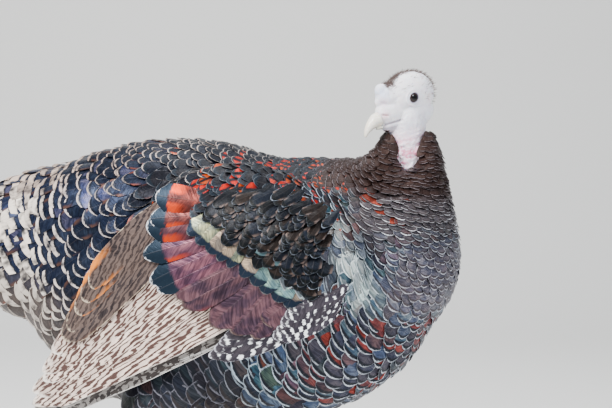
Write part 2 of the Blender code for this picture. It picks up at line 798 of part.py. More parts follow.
def foot(side, nodes, tools):
    """Four toes on flat soles, and their claws. The claws are nodes of their own."""
    word = "left" if side > 0 else "right"
    ankle = leg_at(ANKLE, side)
    middle, half_sizes = PALM
    palm = put("foot_" + word, ellipsoid(ankle + Vector(middle), half_sizes, rings=8), nodes)
    toes = []
    claws = []
    for number, (outwards, length, radius) in enumerate(TOES, 1):
        path, ahead = toe_path(side, outwards, length, radius)
        last = len(path) - 1
        radii = [mixed(radius, TOE_TIP_RADIUS, k / last) for k in range(last + 1)]
        radii[-1] *= 0.9
        toes.append(put("toe", tube(path, radii, radii, sides=8, swell=scuted), tools))
        start = path[-1] + ahead * (GAP + 0.0001)
        start.z += 0.0006
        curve = [start + ahead * CLAW_LENGTH * share + Vector((0, 0, rise)) for share, rise, _ in CLAW_CURVE]
        high = [r for _, _, r in CLAW_CURVE]
        wide = [r * 0.85 for r in high]
        claws.append(put(f"claw_{word}_{number}", tube(curve, wide, high, sides=6), nodes))
    joined(palm, toes)
    cut(palm, half_space((ankle.x, ankle.y, 0), (0, 0, -1), 0.4, tools))
    top = ankle + (leg_at(HOCK, side) - ankle).normalized() * -0.0006
    cut(palm, half_space(top, leg_at(HOCK, side) - ankle, 0.1, tools))
    return palm, claws


def build():
    clear_scene()
    nodes = collection_named("turkey_hen")
    tools = collection_named("tools")
    tools.hide_render = True
    neck, torso = body(nodes, tools)
    torso_cutter = grown(torso, tools)
    head, throat = head_and_throat(nodes, tools)
    fit_neck(neck, head, throat, tools)
    upper, lower = beak(nodes, tools)
    knob = snood(grown(head, tools), nodes)
    balls = eyes(nodes)
    wing_nodes = wings(torso_cutter, nodes, tools)
    tail_node = tail(torso_cutter, nodes, tools)
    legs = []
    claws = []
    drumsticks = []
    for side in (1, -1):
        drumsticks.append(thigh(side, torso_cutter, nodes))
        sole, nails = foot(side, nodes, tools)
        legs += [shank(side, nodes, tools), sole]
        claws += nails
    looks = (
        (finish("plumage", (0.030, 0.026, 0.028), 0.45, 0.3), [torso, neck, *drumsticks]),
        (finish("flight_feathers", (0.25, 0.17, 0.12), 0.55), wing_nodes),
        (finish("tail_feathers", (0.12, 0.09, 0.08), 0.50, 0.1), [tail_node]),
        (finish("bare_skin", (0.80, 0.74, 0.80), 0.50), [head, throat, knob]),
        (finish("horn", (0.86, 0.80, 0.66), 0.35), [upper, lower, *claws]),
        (finish("eye", (0.02, 0.02, 0.03), 0.05), balls),
        (finish("leg_scales", (0.45, 0.33, 0.32), 0.50), legs),
    )
    for material, group in looks:
        for obj in group:
            obj.data.materials.clear()
            obj.data.materials.append(material)
    for obj in list(tools.objects):
        bpy.data.objects.remove(obj, do_unlink=True)
    for obj in nodes.objects:
        obj.data.transform(Matrix.Translation(ORIGIN_SHIFT))


build()
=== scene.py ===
import heapq
import math
import random

import bmesh
import bpy
import numpy as np
from mathutils import Matrix, Vector, noise
from mathutils.bvhtree import BVHTree


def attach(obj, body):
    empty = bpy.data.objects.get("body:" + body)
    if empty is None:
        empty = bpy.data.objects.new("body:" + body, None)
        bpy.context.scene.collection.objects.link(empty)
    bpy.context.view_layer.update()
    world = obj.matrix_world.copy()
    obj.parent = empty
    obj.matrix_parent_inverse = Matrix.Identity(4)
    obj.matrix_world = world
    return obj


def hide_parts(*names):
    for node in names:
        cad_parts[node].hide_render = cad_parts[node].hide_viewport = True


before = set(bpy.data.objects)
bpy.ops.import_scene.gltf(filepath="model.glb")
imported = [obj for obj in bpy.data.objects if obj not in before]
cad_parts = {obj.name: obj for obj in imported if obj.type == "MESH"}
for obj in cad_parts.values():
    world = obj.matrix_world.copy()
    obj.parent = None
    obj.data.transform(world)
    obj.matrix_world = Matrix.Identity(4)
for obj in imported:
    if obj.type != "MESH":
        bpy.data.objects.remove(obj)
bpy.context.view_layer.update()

# The view: a lens at the height of the bird's back, a little in front of its right side, with soft
# light from a large lamp high on the left, a weaker one on the right and a pale room.
FORWARD_SHIFT = Vector((0.110, 0.0, 0.0))  # the bird's own middle to the middle of its box
VIEW_TURN = math.radians(22)
VIEW_TILT = math.atan(54 / 1295)
VIEW_ASIDE, VIEW_AWAY, VIEW_HEIGHT = 0.0767, 1.25, 0.42
LAMPS_AIM = Vector((0.08, 0, 0.32))


def linked(name, data):
    """A new object that holds data, put in the scene."""
    obj = bpy.data.objects.new(name, data)
    bpy.context.scene.collection.objects.link(obj)
    return obj


across_view = Vector((math.cos(VIEW_TURN), math.sin(VIEW_TURN), 0))
into_view = Vector((-math.sin(VIEW_TURN), math.cos(VIEW_TURN), 0))
lens = bpy.data.cameras.new("view")
lens.lens = 50
lens.sensor_width = 23.6
camera = linked("view", lens)
camera.location = (
    across_view * VIEW_ASIDE - into_view * VIEW_AWAY + Vector((0, 0, VIEW_HEIGHT)) + FORWARD_SHIFT
)
gaze = into_view * math.cos(VIEW_TILT) - Vector((0, 0, math.sin(VIEW_TILT)))
camera.rotation_euler = gaze.to_track_quat("-Z", "Y").to_euler()
bpy.context.scene.camera = camera


def soft_lamp(name, place, size, power, tint):
    lamp = bpy.data.lights.new(name, "AREA")
    lamp.shape = "DISK"
    lamp.size = size
    lamp.energy = power
    lamp.color = tint
    stand = linked(name, lamp)
    stand.location = place
    towards = LAMPS_AIM - Vector(place)
    stand.rotation_euler = towards.to_track_quat("-Z", "Y").to_euler()


soft_lamp("key", (-0.7, -1.8, 1.9), 1.0, 142, (1.0, 0.985, 0.96))
soft_lamp("fill", (2.04, -1.27, 2.0), 1.1, 48, (0.86, 0.93, 1.0))
soft_lamp("top", (0.1, 0.4, 2.4), 1.4, 40, (0.95, 0.98, 1.0))

room = bpy.data.worlds.new("room")
room.use_nodes = True
daylight = room.node_tree.nodes["Background"]
daylight.inputs["Color"].default_value = (0.86, 0.89, 0.93, 1)
daylight.inputs["Strength"].default_value = 0.52
bpy.context.scene.world = room

# The floor: one pale matt sheet of paper that lies flat under the bird and curves up behind it.
# Seen from its back it is clear, so that the bird shows from every side.
FLOOR_BACK = 1.6  # where the curve starts
FLOOR_CURVE = 1.0  # its radius


def new_paint(name):
    """A new material, with its node tree and its shader."""
    made = bpy.data.materials.new(name)
    made.use_nodes = True
    return made, made.node_tree, made.node_tree.nodes["Principled BSDF"]


floor_mesh = bmesh.new()
bmesh.ops.create_grid(floor_mesh, x_segments=2, y_segments=60, size=4.0)
for corner in floor_mesh.verts:
    beyond = corner.co.y - FLOOR_BACK
    if beyond > 0:
        bend = min(beyond / FLOOR_CURVE, math.pi / 2)
        corner.co.y = FLOOR_BACK + FLOOR_CURVE * math.sin(bend)
        corner.co.z = FLOOR_CURVE * (1 - math.cos(bend)) + max(0.0, beyond - math.pi / 2)
floor_sheet = bpy.data.meshes.new("floor")
floor_mesh.to_mesh(floor_sheet)
floor_mesh.free()
floor_sheet.shade_smooth()
floor = linked("floor", floor_sheet)
floor.rotation_euler.z = VIEW_TURN
paper, tree, shader = new_paint("paper")
shader.inputs["Roughness"].default_value = 0.9
grain = tree.nodes.new("ShaderNodeTexNoise")
grain.inputs["Scale"].default_value = 3.0
tone = tree.nodes.new("ShaderNodeValToRGB")
tone.color_ramp.elements[0].color = (0.77, 0.765, 0.75, 1)
tone.color_ramp.elements[1].color = (0.81, 0.805, 0.79, 1)
tree.links.new(grain.outputs["Fac"], tone.inputs["Fac"])
tree.links.new(tone.outputs["Color"], shader.inputs["Base Color"])
side_seen = tree.nodes.new("ShaderNodeNewGeometry")
from_front = tree.nodes.new("ShaderNodeMath")
from_front.operation = "SUBTRACT"
from_front.inputs[0].default_value = 1.0
tree.links.new(side_seen.outputs["Backfacing"], from_front.inputs[1])
tree.links.new(from_front.outputs["Value"], shader.inputs["Alpha"])
floor_sheet.materials.append(paper)


# The bare head: thin bluish-white skin drawn over the skull, with folded lids, a slit nostril, an
# open ear, the short snood of a hen and a throat that ends in pink caruncles. It is melted from
# the forms of the skull in millimetres, level and looking along +X, and then turned into place.
HEAD_FORMS = (
    ((-4.5, 0, 2.2), (25, 16.6, 21), 0),  # brain case
    ((12, 0, 5), (17, 11.2, 12.5), 0),  # forehead
    ((14, 0, -8), (19, 10.6, 13), 0),  # face in front of the eyes
    ((-4, 0, -13), (21.5, 14.6, 16), 0),  # cheeks
    ((14, 0, -19), (16, 8.2, 8.2), 0),  # chin
    ((21.4, 0, 11.2), (6.8, 6.2, 7.6), -8),  # snood
    ((25.0, 0, 3.0), (5.5, 4.6, 5.5), 0),  # foot of the snood
)
HEAD_AT = Vector((0.181, -0.004, 0.4668)) + FORWARD_SHIFT
HEAD_TURN = (-133, 15)  # round the upright, and beak down
THROAT_AXIS = Vector((0.1815, -0.001, 0)) + FORWARD_SHIFT
THROAT_FRONT = Vector((0.375, -0.927, 0))
THROAT_RADIUS = 0.0168
EYE_Y = 10.2
EYE_RADIUS = 7.4
EYE_SLANT = 37  # of the lids' oval, in degrees
BEAK_ROOT_X = 31.0
CARUNCLE_COUNT = 26
HEAD_VOXEL = 0.62
SOCKET_GAP = 0.12

head_place = (
    Matrix.Translation(HEAD_AT)
    @ Matrix.Rotation(math.radians(HEAD_TURN[0]), 4, "Z")
    @ Matrix.Rotation(math.radians(HEAD_TURN[1]), 4, "Y")
    @ Matrix.Scale(0.001, 4)
)
into_head = head_place.inverted()


def ball(bm, centre, half_sizes, tail_down=0.0, rings=24):
    """Adds a stretched ball. tail_down turns its -X end down, in degrees."""
    turned = Matrix.Rotation(math.radians(-tail_down), 4, "Y")
    place = Matrix.Translation(centre) @ turned @ Matrix.Diagonal((*half_sizes, 1.0))
    bmesh.ops.create_uvsphere(bm, u_segments=rings + 8, v_segments=rings, radius=1.0, matrix=place)


def hose(bm, stations, sides=24, up=Vector((0, 0, 1))):
    """Adds a closed tube through stations of centre, half width and half height."""
    loops = []
    for k, (centre, wide, high) in enumerate(stations):
        ahead = stations[min(k + 1, len(stations) - 1)][0] - stations[max(k - 1, 0)][0]
        across = ahead.cross(up).normalized()
        over = across.cross(ahead).normalized()
        turned = Matrix((across, over, ahead.normalized())).transposed().to_4x4()
        place = Matrix.Translation(centre) @ turned @ Matrix.Diagonal((wide, high, 1, 1))
        ends = k in (0, len(stations) - 1)
        made = bmesh.ops.create_circle(
            bm, cap_ends=ends, cap_tris=True, segments=sides, radius=1, matrix=place
        )
        ring = [v for v in made["verts"] if not ends or len(v.link_edges) < sides]
        loops.append([e for e in bm.edges if e.verts[0] in ring and e.verts[1] in ring])
    for lower, upper in zip(loops, loops[1:]):
        bmesh.ops.bridge_loops(bm, edges=lower + upper)


def applied(obj):
    """Keeps what an object's modifiers make of its mesh, and drops them."""
    bpy.context.view_layer.update()
    evaluated = obj.evaluated_get(bpy.context.evaluated_depsgraph_get())
    finished = bpy.data.meshes.new_from_object(evaluated)
    obj.modifiers.clear()
    obj.data = finished
    return obj


def set_down(name, bm):
    """A new object from a closed bmesh, with its faces pointing out."""
    bmesh.ops.recalc_face_normals(bm, faces=bm.faces)
    if bm.calc_volume(signed=True) < 0:
        bmesh.ops.reverse_faces(bm, faces=bm.faces)
    mesh = bpy.data.meshes.new(name)
    bm.to_mesh(mesh)
    bm.free()
    return linked(name, mesh)


def melted(obj, voxel, smoothing):
    """Melts overlapping closed forms into one smooth skin."""
    remesh = obj.modifiers.new("melt", "REMESH")
    remesh.mode = "VOXEL"
    remesh.voxel_size = voxel
    smooth = obj.modifiers.new("smooth", "SMOOTH")
    smooth.factor = 0.5
    smooth.iterations = smoothing
    return applied(obj)


def carved(obj, tool, operation="DIFFERENCE"):
    """Cuts an object with a tool, or fuses the two, and takes the tool away."""
    change = obj.modifiers.new("change", "BOOLEAN")
    change.operation = operation
    change.object = tool
    applied(obj)
    bpy.data.objects.remove(tool, do_unlink=True)


def points_of(mesh, what="co"):
    """The places or the normals of a mesh's corners."""
    flat = np.zeros(len(mesh.vertices) * 3, np.float32)
    mesh.vertices.foreach_get(what, flat)
    return flat.reshape(-1, 3).astype(float)


def put_points(mesh, points):
    mesh.vertices.foreach_set("co", points.astype(np.float32).ravel())
    mesh.update()


draw = random.Random(5)
head_shape = bmesh.new()
for centre, sizes, down in HEAD_FORMS:
    ball(head_shape, centre, sizes, down)
throat = [(Vector((-3, 0, -8)), 15.1, 15.1)]
for height, share in ((0.436, 1.04), (0.422, 1.02), (0.408, 1.0), (0.392, 0.95), (0.372, 0.85)):
    spot = into_head @ (THROAT_AXIS + Vector((0, 0, height)))
    throat.append((spot, THROAT_RADIUS * 1000 * share, THROAT_RADIUS * 1000 * share))
hose(head_shape, throat, sides=32, up=Vector((0, 1, 0)))
for side in (1, -1):
    for ring, thick, reach in ((4.45, 0.95, 5.85), (6.5, 0.8, 5.5)):
        upright = Matrix.Translation((ring, 0, 0)) @ Matrix.Rotation(math.pi / 2, 4, "X")
        lid = bmesh.ops.create_circle(head_shape, segments=10, radius=thick, matrix=upright)
        rim = {edge for v in lid["verts"] for edge in v.link_edges}
        bmesh.ops.spin(
            head_shape, geom=lid["verts"] + list(rim), axis=(0, 0, 1), cent=(0, 0, 0), angle=2 * math.pi,
            steps=40, use_merge=True,
        )
        loose = set(lid["verts"])
        front = list(loose)
        while front:
            for edge in front.pop().link_edges:
                for v in edge.verts:
                    if v not in loose:
                        loose.add(v)
                        front.append(v)
        almond = Matrix.Rotation(math.radians(EYE_SLANT), 4, "Y") @ Matrix.Diagonal((1.12, 1, 0.93, 1))
        lie = Matrix.Translation((0, side * (EYE_Y + reach), 0)) @ almond
        lie = lie @ Matrix.Rotation(math.pi / 2, 4, "X")
        bmesh.ops.transform(head_shape, matrix=lie, verts=list(loose))
across_throat = Vector((-THROAT_FRONT.y, THROAT_FRONT.x, 0))
for i in range(CARUNCLE_COUNT):
    turn = math.radians(draw.uniform(-62, 62))
    out = THROAT_FRONT * math.cos(turn) + across_throat * math.sin(turn)
    height = 0.399 + 0.026 * (i + 0.5) / CARUNCLE_COUNT
    spot = into_head @ (THROAT_AXIS + out * (THROAT_RADIUS - 0.0008) + Vector((0, 0, height)))
    swell = draw.uniform(1.5, 3.0)
    ball(head_shape, spot, (swell * 1.25, swell * 1.25, swell * 0.8), draw.uniform(-30, 30), rings=10)
skin = melted(set_down("skin", head_shape), HEAD_VOXEL, 3)

# Folds and openings are pressed into the head's skin
spots = points_of(skin.data)
outward = points_of(skin.data, "normal")
x, y, z = spots.T
lateral = np.abs(y)
press = np.zeros(len(spots))


def groove(start, end, width):
    """How near each point is to a line in the side view, from 0 to 1."""
    a, b = np.array(start), np.array(end)
    run = b - a
    share = np.clip(((x - a[0]) * run[0] + (z - a[1]) * run[1]) / (run @ run), 0, 1)
    gap = np.hypot(x - a[0] - share * run[0], z - a[1] - share * run[1])
    return np.exp(-((gap / width) ** 2))


def from_eye_centre(x, z):
    """How far places lie from the middle of the eye, measured on the slanted oval of the lids."""
    return np.hypot((0.80 * x - 0.60 * z) / 1.12, (0.60 * x + 0.80 * z) / 0.93)


press -= 1.0 * groove((15.0, -17.0), (36.0, -18.2), 0.75) * (lateral > 3)
press += 0.45 * groove((15.5, -15.4), (34.0, -16.2), 1.1) * (lateral > 3)
press += 0.35 * groove((15.0, -19.6), (34.0, -20.4), 1.1) * (lateral > 3)
press -= 0.35 * groove((15.0, -17.0), (8.5, -13.0), 1.0) * (lateral > 6)
press -= 1.7 * groove((25.8, -10.0), (29.4, -8.4), 0.75) * (lateral > 3)
press += 0.5 * groove((25.0, -8.2), (29.6, -6.6), 1.1) * (lateral > 3)
press -= 1.8 * groove((-17.0, -3.9), (-17.4, -2.6), 1.3) * (lateral > 6)
press += 0.45 * np.exp(-(((np.hypot(x + 17.2, (z + 3.2) * 0.9) - 3.2) / 0.9) ** 2)) * (lateral > 6)
for start, end, depth, width in (
    ((7.5, -7.5), (-6.0, -8.6), 0.30, 0.9),
    ((8.5, -9.8), (-5.0, -11.2), 0.22, 0.9),
    ((-9.5, 3.0), (-14.0, 0.0), 0.28, 0.9),
    ((-10.0, -1.5), (-14.0, -6.0), 0.25, 0.9),
    ((10.0, 4.5), (17.5, 1.0), 0.30, 1.0),
    ((-2.0, 9.6), (9.0, 8.2), 0.28, 1.0),
    ((19.5, 6.5), (18.0, 15.0), 0.5, 1.1),
    ((22.0, -1.0), (28.5, 3.2), 0.4, 1.1),
):
    press -= depth * groove(start, end, width) * (lateral > 4)
from_eye = from_eye_centre(x, z)
press -= 0.7 * np.clip((3.7 - from_eye) / 0.6, 0, 1) * (lateral > 6)
press -= 0.35 * np.exp(-(((from_eye - 5.7) / 0.5) ** 2)) * (lateral > 6)
wrinkled = np.array([noise.turbulence(Vector(p) * 0.22, 3, False) for p in spots])
crinkled = np.array([noise.noise(Vector((p[0] * 0.55, p[1] * 0.55, p[2] * 1.1))) for p in spots])
away_from_eye = np.clip((np.hypot(x, z) - 8.5) / 6, 0, 1)
lower = np.clip((-8 - z) / 25, 0, 1)
press += (0.34 * (0.5 - wrinkled) + 0.14 * crinkled) * away_from_eye * (0.45 + 1.1 * lower)
rings_round = np.sin((z + 1.5 * wrinkled) * 1.25)
press += 0.16 * rings_round * np.clip((-24 - z) / 8, 0, 1)
put_points(skin.data, spots + outward * press[:, None])

# The sockets follow the eyeballs, and the skin ends where the beak starts
for side in (1, -1):
    socket = bmesh.new()
    ball(socket, (0, side * EYE_Y, 0), [EYE_RADIUS + SOCKET_GAP] * 3, rings=36)
    carved(skin, set_down("socket", socket))
front_cut = bmesh.new()
bmesh.ops.create_cube(front_cut, size=60, matrix=Matrix.Translation((BEAK_ROOT_X + 30.4, 0, -14)))
carved(skin, set_down("front_cut", front_cut))
skin.data.transform(head_place)

# The body under the plumage: torso, neck, thighs and the fleshy parts of wings and tail, as one
# form. Its outside is where the tips of the contour feathers lie, and the skin is that form drawn
# in by the depth of the coat and fused with the skin of the throat.
COAT_DEPTH = 0.0065
FORM_VOXEL = 0.0050
UNDER_VOXEL = 0.0045
PADS = (
    ((0.070, -0.083, 0.335), (0.108, 0.046, 0.068), -14),  # right wing
    ((0.070, 0.083, 0.335), (0.108, 0.046, 0.068), -14),  # left wing
    ((-0.254, 0, 0.334), (0.060, 0.046, 0.021), 24),  # tail
)
NOTCH_HALF_SIZES = (0.024, 0.0192, 0.026)  # the feathers part before the throat
notch = bmesh.new()
notch_at = THROAT_AXIS + THROAT_FRONT * 0.033 + across_throat * 0.001 + Vector((0, 0, 0.424))
front_turn = Matrix.Rotation(math.atan2(THROAT_FRONT.y, THROAT_FRONT.x), 4, "Z")
notch_place = Matrix.Translation(notch_at) @ front_turn @ Matrix.Diagonal((*NOTCH_HALF_SIZES, 1))
bmesh.ops.create_uvsphere(notch, u_segments=40, v_segments=24, radius=1.0, matrix=notch_place)
collar = linked("collar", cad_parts["neck"].data.copy())
carved(collar, set_down("notch", notch))
flesh = bmesh.new()
flesh.from_mesh(collar.data)
bpy.data.objects.remove(collar, do_unlink=True)
for node in ("torso", "throat", "thigh_left", "thigh_right"):
    flesh.from_mesh(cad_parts[node].data)
bmesh.ops.remove_doubles(flesh, verts=flesh.verts, dist=0.000001)
for centre, sizes, down in PADS:
    ball(flesh, Vector(centre) + FORWARD_SHIFT, sizes, down)
form_mesh = bpy.data.meshes.new("form")
flesh.to_mesh(form_mesh)
flesh.free()
form = melted(linked("form", form_mesh), FORM_VOXEL, 8)
under_coat = linked("under_coat", form.data.copy())
draw_in = under_coat.modifiers.new("draw_in", "DISPLACE")
draw_in.strength = -COAT_DEPTH
draw_in.mid_level = 0
melted(under_coat, UNDER_VOXEL, 4)
carved(skin, under_coat, "UNION")
skin.data.shade_smooth()


# Colours of the plumage, told by where on the bird a feather grows. Each feather has a ground
# with its metallic gloss, a dark band near its tip, a pale edge, a fringe and cross bars.
# Painted highlights: pale green and teal sheen where light catches the feathers beside the breast, painted
# into their ground, edge and band.
SHEEN_HIGHLIGHTS = (  # centre on the right side, radius, ground, gloss
    ((0.160, -0.090, 0.360), 0.011, (0.96, 1.00, 0.90), 0.03),
    ((0.168, -0.088, 0.331), 0.012, (0.94, 1.00, 0.92), 0.04),
    ((0.177, -0.081, 0.318), 0.014, (0.90, 1.00, 0.95), 0.05),
    ((0.185, -0.073, 0.303), 0.012, (0.80, 1.00, 0.96), 0.05),
    ((0.148, -0.106, 0.295), 0.010, (0.62, 0.97, 0.84), 0.06),
    ((0.122, -0.112, 0.312), 0.014, (0.18, 0.30, 0.34), 0.45),
)
SHEENS = (  # ground of a breast feather: colour, gloss, how common
    ((0.034, 0.046, 0.070), 0.50, 0.28),
    ((0.095, 0.215, 0.245), 0.50, 0.22),
    ((0.130, 0.195, 0.290), 0.50, 0.22),
    ((0.180, 0.062, 0.040), 0.45, 0.07),
    ((0.075, 0.120, 0.095), 0.50, 0.05),
    ((0.060, 0.048, 0.050), 0.30, 0.16),
)
shift = np.array(FORWARD_SHIFT)


def smooth_share(low, high, value):
    """A smooth step from 0 at low to 1 at high. Where low is the larger, it falls instead."""
    share = np.clip((value - low) / (high - low), 0, 1)
    return share * share * (3 - 2 * share)


def tinted(target, colour, share):
    """Draws the first columns of an array towards a colour, by each row's own share."""
    target[:, : len(colour)] += (np.array(colour) - target[:, : len(colour)]) * share[:, None]


def plumage_at(places, dice):
    """The colours of feathers that grow at places, as arrays: ground with gloss, band, edge,
    fringe and bars with their strength, and marks: how much of the part that shows is edge and
    band, and a count of bars."""
    own = places - shift
    px, py, pz = own[:, 0], -np.abs(own[:, 1]), own[:, 2]
    count = len(own)
    order = np.cumsum([share for _, _, share in SHEENS])
    pick = np.searchsorted(order / order[-1], dice[:, 0]).clip(0, len(SHEENS) - 1)
    ground = np.array([(*colour, gloss) for colour, gloss, _ in SHEENS])[pick]
    band = np.tile((0.010, 0.012, 0.018, 1.0), (count, 1))
    edge = np.tile((0.42, 0.52, 0.62, 0.8), (count, 1))
    fringe = np.tile((0.60, 0.10, 0.03, 0.0), (count, 1))
    bars = np.tile((0.20, 0.16, 0.15, 0.0), (count, 1))
    marks = np.tile((0.15, 0.30, 6.0), (count, 1))
    looks = {"ground": ground, "band": band, "edge": edge, "fringe": fringe, "bars": bars, "marks": marks}

    def region(share, **wanted):
        for key, colour in wanted.items():
            tinted(looks[key], colour, share)

    # Copper and red on the lower breast, with wider scallops
    copper = smooth_share(0.10, 0.15, px) * smooth_share(0.305, 0.275, pz)
    region(copper * 0.50, ground=(0.120, 0.110, 0.150, 0.40))
    red = copper * (dice[:, 1] < 0.46)
    region(red * (0.65 + 0.35 * dice[:, 2]), ground=(0.34, 0.045, 0.030, 0.40))
    region(copper, edge=(0.50, 0.54, 0.61, 0.5), marks=(0.130, 0.34, 6))
    # Brown neck and nape, close rows with thin grey edges, some pale and some rusty, and a painted highlight
    # on some feathers low on the neck
    neck = smooth_share(0.325, 0.370, pz) * smooth_share(0.145, 0.170, px)
    region(neck, ground=(0.125, 0.104, 0.108, 0.25), band=(0.036, 0.027, 0.027, 1))
    region(neck, edge=(0.26, 0.25, 0.27, 0.2), marks=(0.22, 0.30, 6))
    region(neck * (dice[:, 2] > 0.72) * (0.4 + 0.6 * dice[:, 0]), edge=(0.74, 0.74, 0.80, 0.2))
    # Painted highlights: a pale glossy ground on a third of the feathers low on the neck.
    region(neck * smooth_share(0.36, 0.32, pz) * (dice[:, 1] > 0.66), ground=(0.42, 0.35, 0.40, 0.45))
    rusty = smooth_share(0.160, 0.170, px) * smooth_share(0.335, 0.350, pz)
    rusty *= smooth_share(0.200, 0.185, px)
    rusty *= dice[:, 1] < 0.17
    region(rusty, ground=(0.50, 0.07, 0.035, 0.40))
    # Grey middle of the breast
    breast_grey = smooth_share(0.360, 0.335, pz) * smooth_share(0.275, 0.305, pz)
    breast_grey *= smooth_share(0.185, 0.205, px)
    region(breast_grey * 0.85, ground=(0.260, 0.225, 0.255, 0.35))
    region(breast_grey, band=(0.062, 0.050, 0.056, 1), edge=(0.50, 0.50, 0.56, 0.4))
    # Dark brown mantle
    mantle = smooth_share(0.375, 0.392, pz) * smooth_share(0.100, 0.125, px)
    region(mantle, ground=(0.040, 0.021, 0.017, 0.15), band=(0.016, 0.009, 0.008, 1))
    region(mantle, edge=(0.18, 0.145, 0.155, 0.1), marks=(0.11, 0.30, 6))
    # Scapulars: blue-black with fiery fringes, that run on as strokes along the mantle's lower edge
    scapular = smooth_share(0.135, 0.110, px) * smooth_share(-0.050, -0.020, px)
    scapular *= smooth_share(0.340, 0.360, pz)
    region(scapular, ground=(0.014, 0.013, 0.017, 0.30), band=(0.007, 0.012, 0.019, 1))
    region(scapular, edge=(0.085, 0.095, 0.115, 0.5), marks=(0.08, 0.42, 6))
    fiery = scapular * (dice[:, 1] < 0.07 + 0.28 * smooth_share(0.015, 0.065, px))
    fiery *= smooth_share(0.425, 0.405, pz)
    stroke = smooth_share(0.098, 0.112, px) * smooth_share(0.162, 0.146, px)
    stroke *= smooth_share(0.348, 0.362, pz)
    fiery = np.maximum(fiery, stroke * smooth_share(0.402, 0.388, pz) * (dice[:, 1] < 0.42))
    warm = np.where(dice[:, 2:3] < 0.65, (0.42, 0.012, 0.004), (0.42, 0.050, 0.004))
    fringe[:, :3] += (warm - fringe[:, :3]) * fiery[:, None]
    fringe[:, 3] = np.maximum(fringe[:, 3], fiery)
    # The ridge of the back, with plain pale edges
    ridge = smooth_share(0.396, 0.412, pz) * smooth_share(0.095, 0.050, px)
    region(
        ridge, ground=(0.011, 0.014, 0.024, 0.30), edge=(0.50, 0.42, 0.38, 0.4), marks=(0.12, 0.30, 6)
    )
    # Back and rump: blue-black, and edges that widen to cream towards the tail
    back = smooth_share(0.0, -0.035, px) * smooth_share(0.26, 0.30, pz)
    region(back, ground=(0.018, 0.026, 0.048, 0.50))
    region(back * smooth_share(-0.08, -0.16, px), ground=(0.034, 0.045, 0.085, 0.45))
    # Painted glints: a lilac-blue glossy ground on a few feathers of the back and rump.
    region(back * (dice[:, 1] > 0.88), ground=(0.085, 0.085, 0.150, 0.60))
    region(back, band=(0.008, 0.011, 0.019, 1), edge=(0.46, 0.41, 0.40, 0), marks=(0.13, 0.25, 6))
    tailward = smooth_share(-0.060, -0.165, px) * back
    region(tailward, edge=(0.74, 0.66, 0.58, 0), marks=(0.58, 0.12, 6))
    region(back * smooth_share(0.380, 0.405, pz) * 0.8, edge=(0.34, 0.24, 0.19, 0))
    region(back, fringe=(0.07, 0.035, 0.028))
    fringe[:, 3] = np.maximum(fringe[:, 3] * (1 - back), 0.30 * back * (dice[:, 2] < 0.35))
    # Belly, thighs and under the tail: dull brown-grey with pale edges, dark under the wing
    under_tail = smooth_share(-0.06, -0.14, px) * smooth_share(0.330, 0.300, pz)
    belly = np.maximum(smooth_share(0.225, 0.195, pz), under_tail) * smooth_share(0.12, 0.05, px)
    region(
        belly, ground=(0.075, 0.058, 0.052, 0.15), band=(0.040, 0.032, 0.030, 1),
        edge=(0.44, 0.39, 0.35, 0.3),
    )
    flank = smooth_share(0.088, 0.068, px) * smooth_share(-0.08, -0.03, px) * smooth_share(0.28, 0.26, pz)
    region(flank * 0.85, ground=(0.022, 0.018, 0.024, 0.25))
    region(flank, edge=(0.13, 0.13, 0.16, 0.5), marks=(0.12, 0.35, 6))
    # A smooth grey patch before the wing, and painted highlights of pale green sheen in a few places beside
    # the breast
    grey = np.exp(-((((px - 0.150) / 0.026) ** 2 + ((pz - 0.325) / 0.026) ** 2) ** 2)) * (py < -0.05)
    region(
        grey, ground=(0.120, 0.120, 0.150, 0.40), band=(0.060, 0.060, 0.075, 1),
        edge=(0.165, 0.170, 0.195, 0.2),
    )
    for centre, radius, colour, gloss in SHEEN_HIGHLIGHTS:
        gap = np.sqrt((px - centre[0]) ** 2 + (pz - centre[2]) ** 2 + (py - centre[1]) ** 2)
        near = np.clip(1.45 - gap / radius, 0, 1) * (0.35 + 0.65 * dice[:, 1])
        region(near.clip(0, 1) * (dice[:, 2] < 0.80), ground=(*colour, gloss))
        region(
            near, edge=(0.92, 1.00, 1.00, 0.6), band=(0.240, 0.320, 0.330, 1), marks=(0.20, 0.24, 6)
        )
    ground[:, :3] *= 0.75 + 0.50 * dice[:, 3:4]
    edge[:, :3] *= 0.72 + 0.45 * dice[:, 2:3]
    marks[:, 0] *= 0.75 + 0.5 * dice[:, 3]
    return looks


def node_of(tree, kind, **settings):
    made = tree.nodes.new(kind)
    for key, value in settings.items():
        setattr(made, key, value)
    return made


def sum_of(tree, operation, *values, clamp=False):
    """A Math node fed with sockets or numbers, and its output."""
    made = node_of(tree, "ShaderNodeMath", operation=operation, use_clamp=clamp)
    for socket, value in zip(made.inputs, values):
        if isinstance(value, (int, float)):
            socket.default_value = value
        else:
            tree.links.new(value, socket)
    return made.outputs[0]


def ramped(tree, value, low, high):
    """A smooth step of a value from 0 at low to 1 at high, either of which may be a socket."""
    made = node_of(tree, "ShaderNodeMapRange", interpolation_type="SMOOTHSTEP")
    for name, given in (("Value", value), ("From Min", low), ("From Max", high)):
        if isinstance(given, (int, float)):
            made.inputs[name].default_value = given
        else:
            tree.links.new(given, made.inputs[name])
    return made.outputs["Result"]


def mixed_colour(tree, share, a, b, way="MIX"):
    made = node_of(tree, "ShaderNodeMix", data_type="RGBA", blend_type=way)
    for socket, value in ((made.inputs[0], share), (made.inputs[6], a), (made.inputs[7], b)):
        if isinstance(value, (int, float)):
            socket.default_value = value
        elif isinstance(value, tuple):
            socket.default_value = (*value, 1)
        else:
            tree.links.new(value, socket)
    return made.outputs[2]


